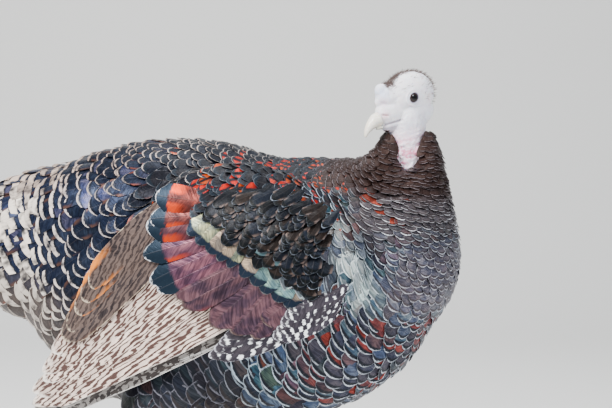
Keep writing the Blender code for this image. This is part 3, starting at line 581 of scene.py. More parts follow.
def noise_on(tree, vector, scale, detail=2.0, rough=0.5):
    made = node_of(tree, "ShaderNodeTexNoise")
    made.inputs["Scale"].default_value = scale
    made.inputs["Detail"].default_value = detail
    made.inputs["Roughness"].default_value = rough
    tree.links.new(vector, made.inputs["Vector"])
    return made.outputs["Fac"]


def on_object(tree):
    """The piece's own coordinates, for patterns that run through it."""
    return node_of(tree, "ShaderNodeTexCoord").outputs["Object"]


def bumped(tree, height, strength, depth):
    made = node_of(tree, "ShaderNodeBump")
    made.inputs["Strength"].default_value = strength
    made.inputs["Distance"].default_value = depth
    tree.links.new(height, made.inputs["Height"])
    return made.outputs["Normal"]


# Skin: pale and bluish on the head, flushed pink at nostril and lids and red among the caruncles, with fine
# pores, and with painted shade in the mouth line, under the jaw and at the foot of the snood. Under the
# plumage it is painted with the plumage's own colours at about half their brightness, as painted shade
# between the feathers.
HEAD_FOOT = 0.4375  # above it everything is head
BARE_THROAT_RADIUS = 0.0205
BARE_THROAT_FOOT = 0.392
skin_paint, tree, shader = new_paint("bare_skin")
where = on_object(tree)
skin_and_shade_colour = node_of(tree, "ShaderNodeAttribute", attribute_name="flesh").outputs["Color"]
mottle = noise_on(tree, where, 260.0, 3.0)
pores = node_of(tree, "ShaderNodeTexVoronoi")
pores.inputs["Scale"].default_value = 900.0
tree.links.new(where, pores.inputs["Vector"])
mottled = ramped(tree, mottle, 0.35, 0.75)
colour = mixed_colour(tree, mottled, skin_and_shade_colour, (0.70, 0.60, 0.70), "MULTIPLY")
softened = mixed_colour(tree, 0.28, skin_and_shade_colour, colour)
tree.links.new(softened, shader.inputs["Base Color"])
tree.links.new(sum_of(tree, "MULTIPLY_ADD", mottle, 0.25, 0.36), shader.inputs["Roughness"])
shader.inputs["Subsurface Weight"].default_value = 0.18
shader.inputs["Subsurface Radius"].default_value = (0.004, 0.0016, 0.0012)
shader.inputs["Subsurface Scale"].default_value = 1.0
soft_relief = sum_of(tree, "MULTIPLY", mottle, 0.8)
relief = sum_of(tree, "MULTIPLY_ADD", pores.outputs["Distance"], 0.5, soft_relief)
tree.links.new(bumped(tree, relief, 0.35, 0.0004), shader.inputs["Normal"])


def in_head(points):
    """Points in the head's own millimetres."""
    return (np.array(into_head) @ np.c_[points, np.ones(len(points))].T).T[:, :3]


spots = points_of(skin.data)
# Painted shade: under the plumage the skin takes the plumage's ground colours at about half their
# brightness, so that the gaps between feathers look dark.
skin_and_shade_tones = plumage_at(spots, np.full((len(spots), 4), 0.45))["ground"] * 0.55
skin_and_shade_tones[:, 3] = 1
local = in_head(spots)
x, _, z = local.T
on_head = spots[:, 2] > HEAD_FOOT
beside_axis = np.hypot(spots[:, 0] - THROAT_AXIS.x, spots[:, 1] - THROAT_AXIS.y)
bare = np.maximum(on_head, (beside_axis < BARE_THROAT_RADIUS) & (spots[:, 2] > BARE_THROAT_FOOT))
head_skin_and_shade = np.tile((0.955, 0.94, 0.995, 1.0), (len(spots), 1))
lateral = np.abs(local[:, 1])


def flush_and_shade_spot(colour, centre, radius, amount, least=0.0):
    """A soft spot of colour at a place of the side view, at least so far from the head's middle. It serves
    for flushes of the skin and for painted shade.
    """
    gap = np.hypot(x - centre[0], z - centre[1])
    tinted(head_skin_and_shade, colour, amount * np.exp(-((gap / radius) ** 2)) * (lateral > least))


speckle = np.array([noise.noise(Vector(p) * 420) for p in spots])
blotch = np.array([noise.noise(Vector(p) * 150 + Vector((3, 1, 7))) for p in spots])
flush_and_shade_spot((0.80, 0.48, 0.55), (27.0, -8.8), 3.6, 0.75, 2)
# Painted shade: a lavender darkening in the crease at the foot of the snood.
flush_and_shade_spot((0.55, 0.38, 0.50), (26.0, 2.0), 3.4, 0.60)
flush_and_shade_spot((0.62, 0.70, 0.88), (24.5, 11.5), 6.5, 0.85)
flush_and_shade_spot((0.95, 0.90, 0.84), (33.0, -12.0), 5.0, 0.60)
# Painted shade: grey under the mouth line, on the lower jaw and the chin.
flush_and_shade_spot((0.40, 0.42, 0.50), (23.0, -22.5), 6.5, 0.80)
flush_and_shade_spot((0.52, 0.53, 0.62), (11.0, -25.0), 7.0, 0.65)
flush_and_shade_spot((0.66, 0.66, 0.78), (-4.0, -20.0), 11.0, 0.45)
flush_and_shade_spot((0.74, 0.62, 0.60), (-17.0, -3.2), 4.0, 0.55, 6)
from_eye = from_eye_centre(x, z)
for colour, share in (
    ((0.46, 0.38, 0.54), 0.50 * np.exp(-((from_eye / 6.6) ** 2))),
    ((0.040, 0.018, 0.052), 0.96 * smooth_share(4.95, 4.25, from_eye)),
):
    tinted(head_skin_and_shade, colour, share * (lateral > 8))
# Painted shade: the skin is darkened along the crease of the mouth.
mouth_crease_shade = groove((13.0, -16.6), (36.0, -18.2), 0.9) * (lateral > 3)
tinted(head_skin_and_shade, (0.30, 0.24, 0.30), 0.75 * mouth_crease_shade)
crown_wide = 4.6 + 2.8 * smooth_share(2, 16, x)
crown = np.exp(-((lateral / crown_wide) ** 4)) * smooth_share(2, 9, z)
crown *= smooth_share(-24, -8, x) * smooth_share(20.0, 18.0, x)
mottled_crown = crown * (0.55 + 0.8 * speckle).clip(0.2, 1)
tinted(head_skin_and_shade, (0.20, 0.115, 0.10), 0.85 * mottled_crown)
pink = smooth_share(0.446, 0.424, spots[:, 2])
tinted(head_skin_and_shade, (0.97, 0.66, 0.80), pink * (0.62 + 0.6 * blotch).clip(0, 1))
red = smooth_share(0.436, 0.416, spots[:, 2]) * smooth_share(-0.05, 0.34, speckle + 0.6 * blotch)
tinted(head_skin_and_shade, (0.70, 0.10, 0.24), 0.70 * red)
skin_and_shade_tones = np.where(bare[:, None], head_skin_and_shade, skin_and_shade_tones)
skin_and_shade_layer = skin.data.attributes.new("flesh", "FLOAT_COLOR", "POINT")
skin_and_shade_layer.data.foreach_set("color", skin_and_shade_tones.astype(np.float32).ravel())
skin.data.materials.clear()
skin.data.materials.append(skin_paint)
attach(skin, "root")
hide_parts("torso", "neck", "throat", "head", "snood", "thigh_left", "thigh_right")

# The eyes: wet dark balls that fill their sockets, a brown iris round a black pupil, under a
# cornea that swells a little. The colours are rings, told by the angle from the pupil's middle.
eye_paint, tree, shader = new_paint("eye")
iris_map = node_of(tree, "ShaderNodeUVMap", uv_map="iris").outputs["UV"]
from_pupil = node_of(tree, "ShaderNodeSeparateXYZ")
tree.links.new(iris_map, from_pupil.inputs[0])
streaks = noise_on(tree, iris_map, 40.0, 3.0)
iris = mixed_colour(tree, streaks, (0.010, 0.006, 0.006), (0.030, 0.016, 0.013))
past_pupil = ramped(tree, from_pupil.outputs["Y"], 0.105, 0.125)
past_iris = ramped(tree, from_pupil.outputs["Y"], 0.225, 0.26)
with_pupil = mixed_colour(tree, past_pupil, (0.002, 0.002, 0.003), iris)
tree.links.new(mixed_colour(tree, past_iris, with_pupil, (0.012, 0.009, 0.012)), shader.inputs["Base Color"])
tree.links.new(sum_of(tree, "MULTIPLY_ADD", streaks, 0.05, 0.03), shader.inputs["Roughness"])
shader.inputs["Specular IOR Level"].default_value = 0.10
shader.inputs["Coat Weight"].default_value = 0.50
shader.inputs["Coat Roughness"].default_value = 0.02
for name, side in (("eye_ball_left", 1), ("eye_ball_right", -1)):
    eye = bmesh.new()
    bmesh.ops.create_uvsphere(eye, u_segments=48, v_segments=40, radius=EYE_RADIUS)
    bmesh.ops.rotate(eye, verts=eye.verts, matrix=Matrix.Rotation(math.radians(-90 * side), 3, "X"))
    rings_out = eye.loops.layers.uv.new("iris")
    for face in eye.faces:
        for corner in face.loops:
            at = corner.vert.co
            off = math.acos(max(-1, min(1, at.y * side / EYE_RADIUS))) / math.pi
            corner[rings_out].uv = (0.5 + 0.5 * math.atan2(at.z, at.x) / math.pi, off)
    for v in eye.verts:
        off = math.acos(max(-1, min(1, v.co.y * side / EYE_RADIUS)))
        v.co.y += side * 0.25 * max(0.0, 1 - (off / 0.72) ** 2)
    eye.transform(head_place @ Matrix.Translation((0, side * EYE_Y, 0)))
    eyeball = set_down(name, eye)
    eyeball.data.shade_smooth()
    eyeball.data.materials.append(eye_paint)
    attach(eyeball, "root")
    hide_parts("eye_left" if side > 0 else "eye_right")

# The beak and claws: pale mottled horn over bone, smooth and hooked at the tip. Each half of the
# beak is a closed tube through a few stations, set in the head's own millimetres.
horn_paint, tree, shader = new_paint("horn")
where = on_object(tree)
growth = noise_on(tree, where, 220.0, 4.0, 0.6)
fine = noise_on(tree, where, 1400.0, 2.0)
horn = mixed_colour(tree, ramped(tree, growth, 0.30, 0.72), (0.95, 0.91, 0.82), (0.88, 0.79, 0.66))
tree.links.new(horn, shader.inputs["Base Color"])
tree.links.new(sum_of(tree, "MULTIPLY_ADD", growth, 0.25, 0.24), shader.inputs["Roughness"])
shader.inputs["Subsurface Weight"].default_value = 0.12
shader.inputs["Subsurface Radius"].default_value = (0.003, 0.002, 0.001)
shader.inputs["Coat Weight"].default_value = 0.25
tree.links.new(bumped(tree, sum_of(tree, "ADD", growth, fine), 0.15, 0.0003), shader.inputs["Normal"])


def curved(values, steps):
    """Values at more steps along a smooth line through them."""
    values = np.array(values, float)
    known = np.linspace(0, 1, len(values))
    wanted = np.linspace(0, 1, steps)
    slopes = np.gradient(values, known, axis=0)
    i = np.clip(np.searchsorted(known, wanted) - 1, 0, len(values) - 2)
    gap = known[1] - known[0]
    t = (wanted - known[i]) / gap
    if values.ndim > 1:
        t = t[:, None]
    return (
        (2 * t**3 - 3 * t**2 + 1) * values[i]
        + (t**3 - 2 * t**2 + t) * gap * slopes[i]
        + (-2 * t**3 + 3 * t**2) * values[i + 1]
        + (t**3 - t**2) * gap * slopes[i + 1]
    )


BEAK_UPPER = (  # x, z, half width, half height
    (30.9, -11.4, 6.9, 6.3), (34.4, -12.0, 6.5, 6.0), (38.2, -13.9, 5.6, 5.0), (42.0, -16.4, 4.4, 3.8),
    (45.0, -19.2, 3.1, 2.7), (46.9, -22.0, 1.9, 1.7), (47.8, -24.0, 0.7, 0.6),
)
BEAK_LOWER = ((30.9, -19.0, 4.8, 1.9), (33.2, -19.0, 3.9, 1.6), (35.3, -19.4, 1.6, 0.9))
for name, stations, steps in (("beak_upper_horn", BEAK_UPPER, 26), ("beak_lower_horn", BEAK_LOWER, 14)):
    along = curved(stations, steps)
    bill = bmesh.new()
    hose(bill, [(Vector((x, 0, z)), wide, high) for x, z, wide, high in along], sides=32)
    if name == "beak_upper_horn":
        for v in bill.verts:
            v.co.z += 0.30 * math.exp(-((v.co.y / 1.6) ** 2)) * (v.co.z > -16)
    bill.transform(head_place)
    half = set_down(name, bill)
    half.data.shade_smooth()
    half.data.materials.append(horn_paint)
    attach(half, "root")
    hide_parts("beak_upper" if name == "beak_upper_horn" else "beak_lower")

# The legs: a shank and four toes in overlapping scutes over tendon and bone, on soft flat soles,
# with short blunt claws. The scutes are plates that stand out from the rings of the leg.
LEG_X, LEG_Y = -0.030, 0.060
HOCK = Vector((-0.034, 0, 0.132))
ANKLE = Vector((0.006, 0, 0.020))
TOES = ((4, 0.074, 0.0078), (-36, 0.056, 0.0072), (40, 0.058, 0.0072), (172, 0.026, 0.0056))
TOE_TIP_RADIUS = 0.0044
TOE_STEPS = 8
SHANK_SCUTES = 17
CLAW_LENGTH = 0.013
CLAW_ARCH = (  # how far along, rise, radius
    (0, 0, 0.0032), (0.3, 0.0005, 0.0029), (0.65, -0.0004, 0.0019), (1.0, -0.0024, 0.0005),
)
scale_paint, tree, shader = new_paint("leg_scales")
where = on_object(tree)
cells = node_of(tree, "ShaderNodeTexVoronoi", feature="DISTANCE_TO_EDGE")
cells.inputs["Scale"].default_value = 420.0
tree.links.new(where, cells.inputs["Vector"])
seams = ramped(tree, cells.outputs["Distance"], 0.0, 0.10)
patchy = noise_on(tree, where, 120.0, 3.0)
scute_edge = node_of(tree, "ShaderNodeAttribute", attribute_name="scute").outputs["Fac"]
horny = mixed_colour(tree, patchy, (0.34, 0.21, 0.20), (0.52, 0.38, 0.36))
seamed = mixed_colour(tree, seams, (0.20, 0.12, 0.115), horny)
scuted = mixed_colour(tree, sum_of(tree, "MULTIPLY", scute_edge, 0.65), seamed, (0.66, 0.55, 0.52))
tree.links.new(scuted, shader.inputs["Base Color"])
tree.links.new(sum_of(tree, "MULTIPLY_ADD", patchy, 0.25, 0.34), shader.inputs["Roughness"])
tree.links.new(bumped(tree, seams, 0.5, 0.0005), shader.inputs["Normal"])


def scaled_tube(bm, path, widths, heights, scutes, stand, up):
    """A tube whose upper face carries scutes, each a plate that rises to its far edge."""
    steps = scutes * 4
    points = curved([tuple(p) for p in path], steps + 1)
    wide = curved(widths, steps + 1)
    high = curved(heights, steps + 1)
    first = len(bm.verts)
    hose(bm, [(Vector(p), w, h) for p, w, h in zip(points, wide, high)], sides=20, up=up)
    bm.verts.ensure_lookup_table()
    middle = np.array(points)
    layer = bm.verts.layers.float.get("scute") or bm.verts.layers.float.new("scute")
    for v in list(bm.verts)[first:]:
        k = int(np.argmin(((middle - np.array(v.co)) ** 2).sum(1)))
        out = v.co - Vector(middle[k])
        if out.length < 1e-6:
            continue
        facing = max(0.0, out.normalized().dot(up)) ** 0.5
        rise = (k % 4) / 3.0
        v.co += out.normalized() * stand * facing * (rise - 0.3)
        v[layer] = facing * max(0.0, rise - 0.4) / 0.6


for side, word in ((1, "left"), (-1, "right")):

    def on_leg(point):
        return Vector((LEG_X + point[0], side * LEG_Y + point[1], point[2])) + FORWARD_SHIFT

    limb = bmesh.new()
    hock, ankle = on_leg(HOCK + Vector((-0.002, 0, 0.006))), on_leg(ANKLE)
    scaled_tube(
        limb,
        [hock.lerp(ankle, k / 6) for k in range(7)],
        (0.0095, 0.0070, 0.0060, 0.0058, 0.0058, 0.0066, 0.0082),
        (0.0104, 0.0078, 0.0066, 0.0064, 0.0064, 0.0068, 0.0078),
        SHANK_SCUTES, 0.0009, Vector((1, 0, 0)),
    )
    shank = set_down("scaled_shank_" + word, limb)
    feet = bmesh.new()
    ball(feet, ankle + Vector((0.005, 0, -0.0095)), (0.0125, 0.0115, 0.0105))
    for number, (outwards, length, radius) in enumerate(TOES, 1):
        angle = math.radians(outwards) * side
        ahead = Vector((math.cos(angle), math.sin(angle), 0))
        root = ankle + Vector((0.004, 0, 0))
        tip = root + ahead * length
        path, knuckles = [], []
        for k in range(TOE_STEPS + 1):
            share = k / TOE_STEPS
            at = root.lerp(tip, share)
            low = 0.80 * (radius + (TOE_TIP_RADIUS - radius) * share)
            at.z = 0.013 + (low - 0.013) * min(1.0, share * 2.6)
            path.append(at)
            knuckles.append((radius + (TOE_TIP_RADIUS - radius) * k / TOE_STEPS) * (1.0 if k % 3 else 1.06))
        knuckles[-1] *= 0.86
        scutes = max(4, int(length / 0.0055))
        scaled_tube(feet, path, knuckles, knuckles, scutes, 0.0008, Vector((0, 0, 1)))
        start = path[-1] + ahead * 0.0002
        start.z += 0.0006
        nail = bmesh.new()
        bends = []
        for share, rise, thick in curved(CLAW_ARCH, 12):
            at = start + ahead * CLAW_LENGTH * share + Vector((0, 0, rise))
            bends.append((at, thick * 0.82, thick))
        hose(nail, bends, sides=16)
        for v in nail.verts:
            v.co.z = max(v.co.z, 0.0)
        claw = set_down(f"nail_{word}_{number}", nail)
        claw.data.shade_smooth()
        claw.data.materials.append(horn_paint)
        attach(claw, "root")
        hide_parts(f"claw_{word}_{number}")
    for v in feet.verts:
        v.co.z = max(v.co.z, 0.0)
    foot = set_down("scaled_foot_" + word, feet)
    for obj, node in ((shank, "shank_" + word), (foot, "foot_" + word)):
        obj.data.shade_smooth()
        obj.data.materials.append(scale_paint)
        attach(obj, "root")
        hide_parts(node)

# Plumage: every feather is one vane of barbs hooked together on a shaft, thin and slightly
# domed. One blank sheet is the pattern for all, laid along the bird in overlapping rows.
plume_paint, tree, shader = new_paint("plumage")
vane_map = node_of(tree, "ShaderNodeUVMap", uv_map="vane").outputs["UV"]
split = node_of(tree, "ShaderNodeSeparateXYZ")
tree.links.new(vane_map, split.inputs[0])
u, v = split.outputs["X"], split.outputs["Y"]


def painted(name):
    """A colour that each feather carries, and its alpha."""
    made = node_of(tree, "ShaderNodeAttribute", attribute_name=name)
    return made.outputs["Color"], made.outputs["Alpha"]


def patterned(along, scales, detail, rough=0.5):
    """Noise on the vane, stretched by scales along, across and from one feather to the next."""
    place = node_of(tree, "ShaderNodeCombineXYZ")
    for value, scale, socket in zip((along, u, own_dice), scales, place.inputs):
        tree.links.new(sum_of(tree, "MULTIPLY", value, scale), socket)
    return noise_on(tree, place.outputs[0], 1.0, detail, rough)


ground, gloss = painted("ground")
band, _ = painted("band")
edge, edge_sides = painted("edge")
fringe, fringe_amount = painted("fringe")
bars, bar_amount = painted("bars")
marks, own_dice = painted("marks")
mark_parts = node_of(tree, "ShaderNodeSeparateXYZ")
tree.links.new(marks, mark_parts.inputs[0])
edge_width, band_width, bar_count = mark_parts.outputs
off_shaft = sum_of(tree, "MULTIPLY", sum_of(tree, "ABSOLUTE", sum_of(tree, "SUBTRACT", u, 0.5)), 2.0)
from_tip = sum_of(tree, "SUBTRACT", 1.0, v)
from_side = sum_of(tree, "SUBTRACT", 1.0, off_shaft)
barb = sum_of(tree, "MULTIPLY_ADD", off_shaft, -0.16, v)
streak = patterned(barb, (34.0, 2.2, 40.0), 3.0, 0.6)
cloud = patterned(v, (5.0, 2.5, 90.0), 2.0)
ragged = sum_of(tree, "MULTIPLY", sum_of(tree, "SUBTRACT", streak, 0.5), 0.10)
side_gap = sum_of(tree, "MULTIPLY", from_side, 0.42)
beyond_tip = sum_of(tree, "SUBTRACT", from_tip, edge_width)
side_width = sum_of(tree, "MULTIPLY", sum_of(tree, "MINIMUM", edge_width, 0.045), edge_sides)
no_sides = sum_of(tree, "MULTIPLY", ramped(tree, edge_sides, 0.12, 0.0), 0.2)
beyond_side = sum_of(tree, "ADD", sum_of(tree, "SUBTRACT", side_gap, side_width), no_sides)
rim_gap = sum_of(tree, "ADD", sum_of(tree, "MINIMUM", beyond_tip, beyond_side), ragged)
worn = ramped(tree, cloud, 0.78, 0.42)
edge_mask = sum_of(tree, "MULTIPLY", ramped(tree, rim_gap, 0.012, -0.012), worn)
tip_gap = sum_of(tree, "ADD", from_tip, ragged)
band_end = sum_of(tree, "ADD", edge_width, band_width)
band_from, band_to = (sum_of(tree, way, band_end, 0.022) for way in ("ADD", "SUBTRACT"))
band_mask = ramped(tree, tip_gap, band_from, band_to)
past_band = sum_of(tree, "SUBTRACT", tip_gap, band_end)
fringe_from = sum_of(tree, "MULTIPLY_ADD", fringe_amount, -0.62, 0.98)
clouded = sum_of(tree, "MULTIPLY_ADD", streak, 0.30, sum_of(tree, "MULTIPLY_ADD", cloud, 0.35, off_shaft))
fringe_low, fringe_high = (sum_of(tree, "ADD", fringe_from, beyond) for beyond in (0.12, 0.42))
fringe_sides = ramped(tree, clouded, fringe_low, fringe_high)
fringe_zone = sum_of(tree, "MULTIPLY", fringe_sides, ramped(tree, past_band, 0.34, 0.08))
fringe_strength = ramped(tree, fringe_amount, 0.0, 0.35)
slanted = ramped(tree, bar_count, 16.0, 18.0)
straight = sum_of(tree, "MULTIPLY_ADD", off_shaft, -0.05, v)
along_bars = sum_of(tree, "MULTIPLY", straight, sum_of(tree, "MULTIPLY_ADD", slanted, -0.50, 1.0))
bar_course = sum_of(tree, "MULTIPLY_ADD", u, sum_of(tree, "MULTIPLY", slanted, 0.30), along_bars)
ripple = patterned(v, (17.0, 10.0, 60.0), 2.0)
rippled = sum_of(tree, "MULTIPLY_ADD", cloud, 0.06, sum_of(tree, "MULTIPLY_ADD", ripple, 0.085, bar_course))
turns = sum_of(tree, "MULTIPLY", bar_count, 6.2832)
bar_wave = sum_of(tree, "SINE", sum_of(tree, "MULTIPLY", rippled, turns))
breaks = sum_of(tree, "MULTIPLY_ADD", slanted, -0.45, 0.9)
broken = sum_of(tree, "MULTIPLY_ADD", sum_of(tree, "SUBTRACT", streak, 0.5), breaks, bar_wave)
bar_from = sum_of(tree, "MULTIPLY_ADD", slanted, -0.40, 0.20)
patchy = sum_of(tree, "MAXIMUM", ramped(tree, cloud, 0.47, 0.57), ramped(tree, bar_count, 7.5, 8.5))
bar_core = ramped(tree, broken, bar_from, sum_of(tree, "ADD", bar_from, 0.42))
bar_line = sum_of(tree, "MULTIPLY", bar_core, patchy)
bar_mask = sum_of(tree, "MULTIPLY", bar_line, bar_amount)
# Painted shade of the sheen: where the cloud noise is high, glossy grounds are painted darker and bluer, so
# that their sheen colour shows only in parts of each feather.
deep_gloss = sum_of(tree, "MULTIPLY", gloss, 1.8, clamp=True)
shaded = sum_of(tree, "MULTIPLY", ramped(tree, cloud, 0.34, 0.62), deep_gloss)
sheen_shaded_ground = mixed_colour(tree, shaded, ground, (0.26, 0.34, 0.50), "MULTIPLY")
glossy = sum_of(tree, "MULTIPLY_ADD", gloss, 2.2, 0.42, clamp=True)
streak_share = sum_of(tree, "MULTIPLY", ramped(tree, streak, 0.34, 0.66), glossy)
streaked = mixed_colour(tree, streak_share, sheen_shaded_ground, (0.38, 0.38, 0.42), "MULTIPLY")
barred = mixed_colour(tree, bar_mask, streaked, bars)
fringed = mixed_colour(tree, sum_of(tree, "MULTIPLY", fringe_zone, fringe_strength), barred, fringe)
banded = mixed_colour(tree, band_mask, fringed, band)
edged = mixed_colour(tree, edge_mask, banded, edge)
shaft = ramped(tree, off_shaft, 0.05, 0.015)
shafted = mixed_colour(tree, sum_of(tree, "MULTIPLY", shaft, 0.12), edged, (0.12, 0.10, 0.095))
tree.links.new(shafted, shader.inputs["Base Color"])
plain = sum_of(tree, "MAXIMUM", edge_mask, sum_of(tree, "MULTIPLY", bar_mask, 0.8))
shine = sum_of(tree, "MULTIPLY", gloss, sum_of(tree, "SUBTRACT", 1.0, plain))
tree.links.new(shine, shader.inputs["Metallic"])
shader.inputs["Specular IOR Level"].default_value = 0.11
matt = sum_of(tree, "MULTIPLY_ADD", streak, 0.26, 0.24)
tree.links.new(sum_of(tree, "MULTIPLY_ADD", edge_mask, 0.2, matt), shader.inputs["Roughness"])
relief = sum_of(tree, "MULTIPLY_ADD", shaft, 0.35, streak)
tree.links.new(bumped(tree, relief, 0.45, 0.0005), shader.inputs["Normal"])


def blank_sheet(across, along):
    """The pattern of a vane: a closed flat sheet. Columns of its array run across from -1 to 1,
    along from 0 to 1 and through from 0 to 1."""
    bm = bmesh.new()
    bmesh.ops.create_grid(bm, x_segments=across, y_segments=along, size=1.0)
    bmesh.ops.solidify(bm, geom=list(bm.faces), thickness=1.0)
    bmesh.ops.translate(bm, verts=bm.verts, vec=(0, 0, 1))
    bmesh.ops.recalc_face_normals(bm, faces=bm.faces)
    if bm.calc_volume(signed=True) < 0:
        bmesh.ops.reverse_faces(bm, faces=bm.faces)
    bm.verts.ensure_lookup_table()
    at = np.array([v.co for v in bm.verts])
    at[:, 1] = 0.5 + 0.5 * at[:, 1]
    faces = np.array([[v.index for v in face.verts] for face in bm.faces])
    bm.free()
    return {"at": at, "faces": faces, "steps": along}


def laid(name, blank, points, roots, patch, colours, dice, nodes=()):
    """Joins one copy of a blank sheet for every feather. points are where the sheet's corners
    go, and roots where each feather stands on the unwrapped skin."""
    count, corners = points.shape[:2]
    faces = (blank["faces"][None] + (np.arange(count) * corners)[:, None, None]).reshape(-1, 4)
    mesh = bpy.data.meshes.new(name)
    mesh.vertices.add(count * corners)
    mesh.vertices.foreach_set("co", points.astype(np.float32).ravel())
    mesh.loops.add(faces.size)
    mesh.loops.foreach_set("vertex_index", faces.astype(np.int32).ravel())
    mesh.polygons.add(len(faces))
    mesh.polygons.foreach_set("loop_start", np.arange(0, faces.size, 4, dtype=np.int32))
    mesh.update(calc_edges=True)
    mesh.validate()
    flat = blank["at"][blank["faces"].ravel()][:, :2]
    flat = np.c_[flat[:, 0] * 0.5 + 0.5, flat[:, 1]]
    on_vane = mesh.uv_layers.new(name="vane")
    on_vane.data.foreach_set("uv", np.tile(flat, (count, 1)).astype(np.float32).ravel())
    on_skin = mesh.uv_layers.new(name="OFBake")
    placed = roots[:, None] + flat[None] * np.array(patch)
    on_skin.data.foreach_set("uv", placed.astype(np.float32).ravel())
    for key, values in colours.items():
        if key == "marks":
            values = np.c_[values[:, :3], dice[:, 3]]
        layer = mesh.attributes.new(key, "FLOAT_COLOR", "POINT")
        layer.data.foreach_set("color", np.repeat(values, corners, 0).astype(np.float32).ravel())
    mesh.set_sharp_from_angle(angle=math.radians(55))
    mesh.materials.append(plume_paint)
    obj = linked(name, mesh)
    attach(obj, "root")
    if nodes:
        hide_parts(*nodes)


# Contour feathers grow in rows. The rows are lines of equal distance from the top of the neck,
# measured over the form, and the feathers lie the way that distance grows.
NECK_RIM, NECK_TOP = 0.4355, 0.4420
form_points = points_of(form.data)
form_normals = points_of(form.data, "normal")
form.data.calc_loop_triangles()
corners = np.zeros(len(form.data.loop_triangles) * 3, np.int32)
form.data.loop_triangles.foreach_get("vertices", corners)
triangles = corners.reshape(-1, 3)
links = np.unique(np.sort(np.r_[triangles[:, :2], triangles[:, 1:], triangles[:, ::2]], 1), axis=0)
near = [set() for _ in form_points]
for a, b in links:
    near[a].add(b)
    near[b].add(a)
reach = [set(ring).union(*(near[b] for b in ring)) - {a} for a, ring in enumerate(near)]
distance = np.full(len(form_points), np.inf)
top = form_points[:, 2] > NECK_RIM
distance[top] = NECK_TOP - form_points[top, 2]
waiting = [(distance[i], i) for i in np.flatnonzero(top)]
heapq.heapify(waiting)
while waiting:
    gone, a = heapq.heappop(waiting)
    if gone > distance[a]:
        continue
    here = form_points[a]
    others = np.fromiter(reach[a], int)
    steps = gone + np.sqrt(((form_points[others] - here) ** 2).sum(1))
    for b, value in zip(others, steps):
        if value < distance[b]:
            distance[b] = value
            heapq.heappush(waiting, (value, b))
degree = np.bincount(links.ravel(), minlength=len(form_points)).astype(float)


def evened(values, rounds):
    """Each point takes the mean of itself and its neighbours, some times over."""
    values = values.copy()
    for _ in range(rounds):
        total = np.zeros_like(values)
        np.add.at(total, links[:, 0], values[links[:, 1]])
        np.add.at(total, links[:, 1], values[links[:, 0]])
        if values.ndim > 1:
            values = 0.5 * values + 0.5 * total / degree[:, None]
        else:
            values = 0.5 * values + 0.5 * total / degree
    return values


distance = evened(distance, 12)
a, b, c = (form_points[triangles[:, k]] for k in range(3))
face_normal = np.cross(b - a, c - a)
double_area = np.linalg.norm(face_normal, axis=1, keepdims=True)
face_normal /= double_area
slope = (
    distance[triangles[:, 0]][:, None] * np.cross(face_normal, c - b)
    + distance[triangles[:, 1]][:, None] * np.cross(face_normal, a - c)
    + distance[triangles[:, 2]][:, None] * np.cross(face_normal, b - a)
) / double_area
flow = np.zeros_like(form_points)
for k in range(3):
    np.add.at(flow, triangles[:, k], slope * double_area)
flow /= np.linalg.norm(flow, axis=1, keepdims=True) + 1e-12
flow = evened(flow, 10)
surface = BVHTree.FromPolygons(form_points.tolist(), triangles.tolist())
# On the sides of the breast and on the mantle they sweep back, by these angles
SWEEP_BREAST, SWEEP_MANTLE = 0.62, 0.70
own = form_points - shift
beside_breast = smooth_share(0.035, 0.065, np.abs(own[:, 1])) * smooth_share(0.355, 0.325, own[:, 2])
low_flank = 0.6 * smooth_share(0.27, 0.25, own[:, 2])
beside_breast *= np.maximum(smooth_share(0.11, 0.15, own[:, 0]), low_flank)
beside_breast *= smooth_share(0.0, 0.06, own[:, 0]) * smooth_share(0.215, 0.185, own[:, 0])
on_mantle = smooth_share(0.345, 0.368, own[:, 2]) * smooth_share(0.006, 0.022, np.abs(own[:, 1]))
on_mantle *= smooth_share(0.175, 0.155, own[:, 0]) * smooth_share(0.05, 0.09, own[:, 0])
swept = evened(SWEEP_BREAST * beside_breast + SWEEP_MANTLE * on_mantle, 6) * np.sign(own[:, 1])
flow = flow * np.cos(swept)[:, None] + np.cross(form_normals, flow) * np.sin(swept)[:, None]


def settled(places):
    """The nearest points of the form, with their normals and the lie of the feathers there."""
    found = [surface.find_nearest(p) for p in places.tolist()]
    spot = np.array([hit[0] for hit in found])
    corner = triangles[[hit[2] for hit in found]]
    weights = 1 / (np.linalg.norm(form_points[corner] - spot[:, None], axis=2) + 1e-4)
    weights /= weights.sum(1, keepdims=True)
    normal = (form_normals[corner] * weights[:, :, None]).sum(1)
    normal /= np.linalg.norm(normal, axis=1, keepdims=True)
    lie = (flow[corner] * weights[:, :, None]).sum(1)
    lie -= normal * (lie * normal).sum(1, keepdims=True)
    lie /= np.linalg.norm(lie, axis=1, keepdims=True) + 1e-9
    return spot, normal, lie


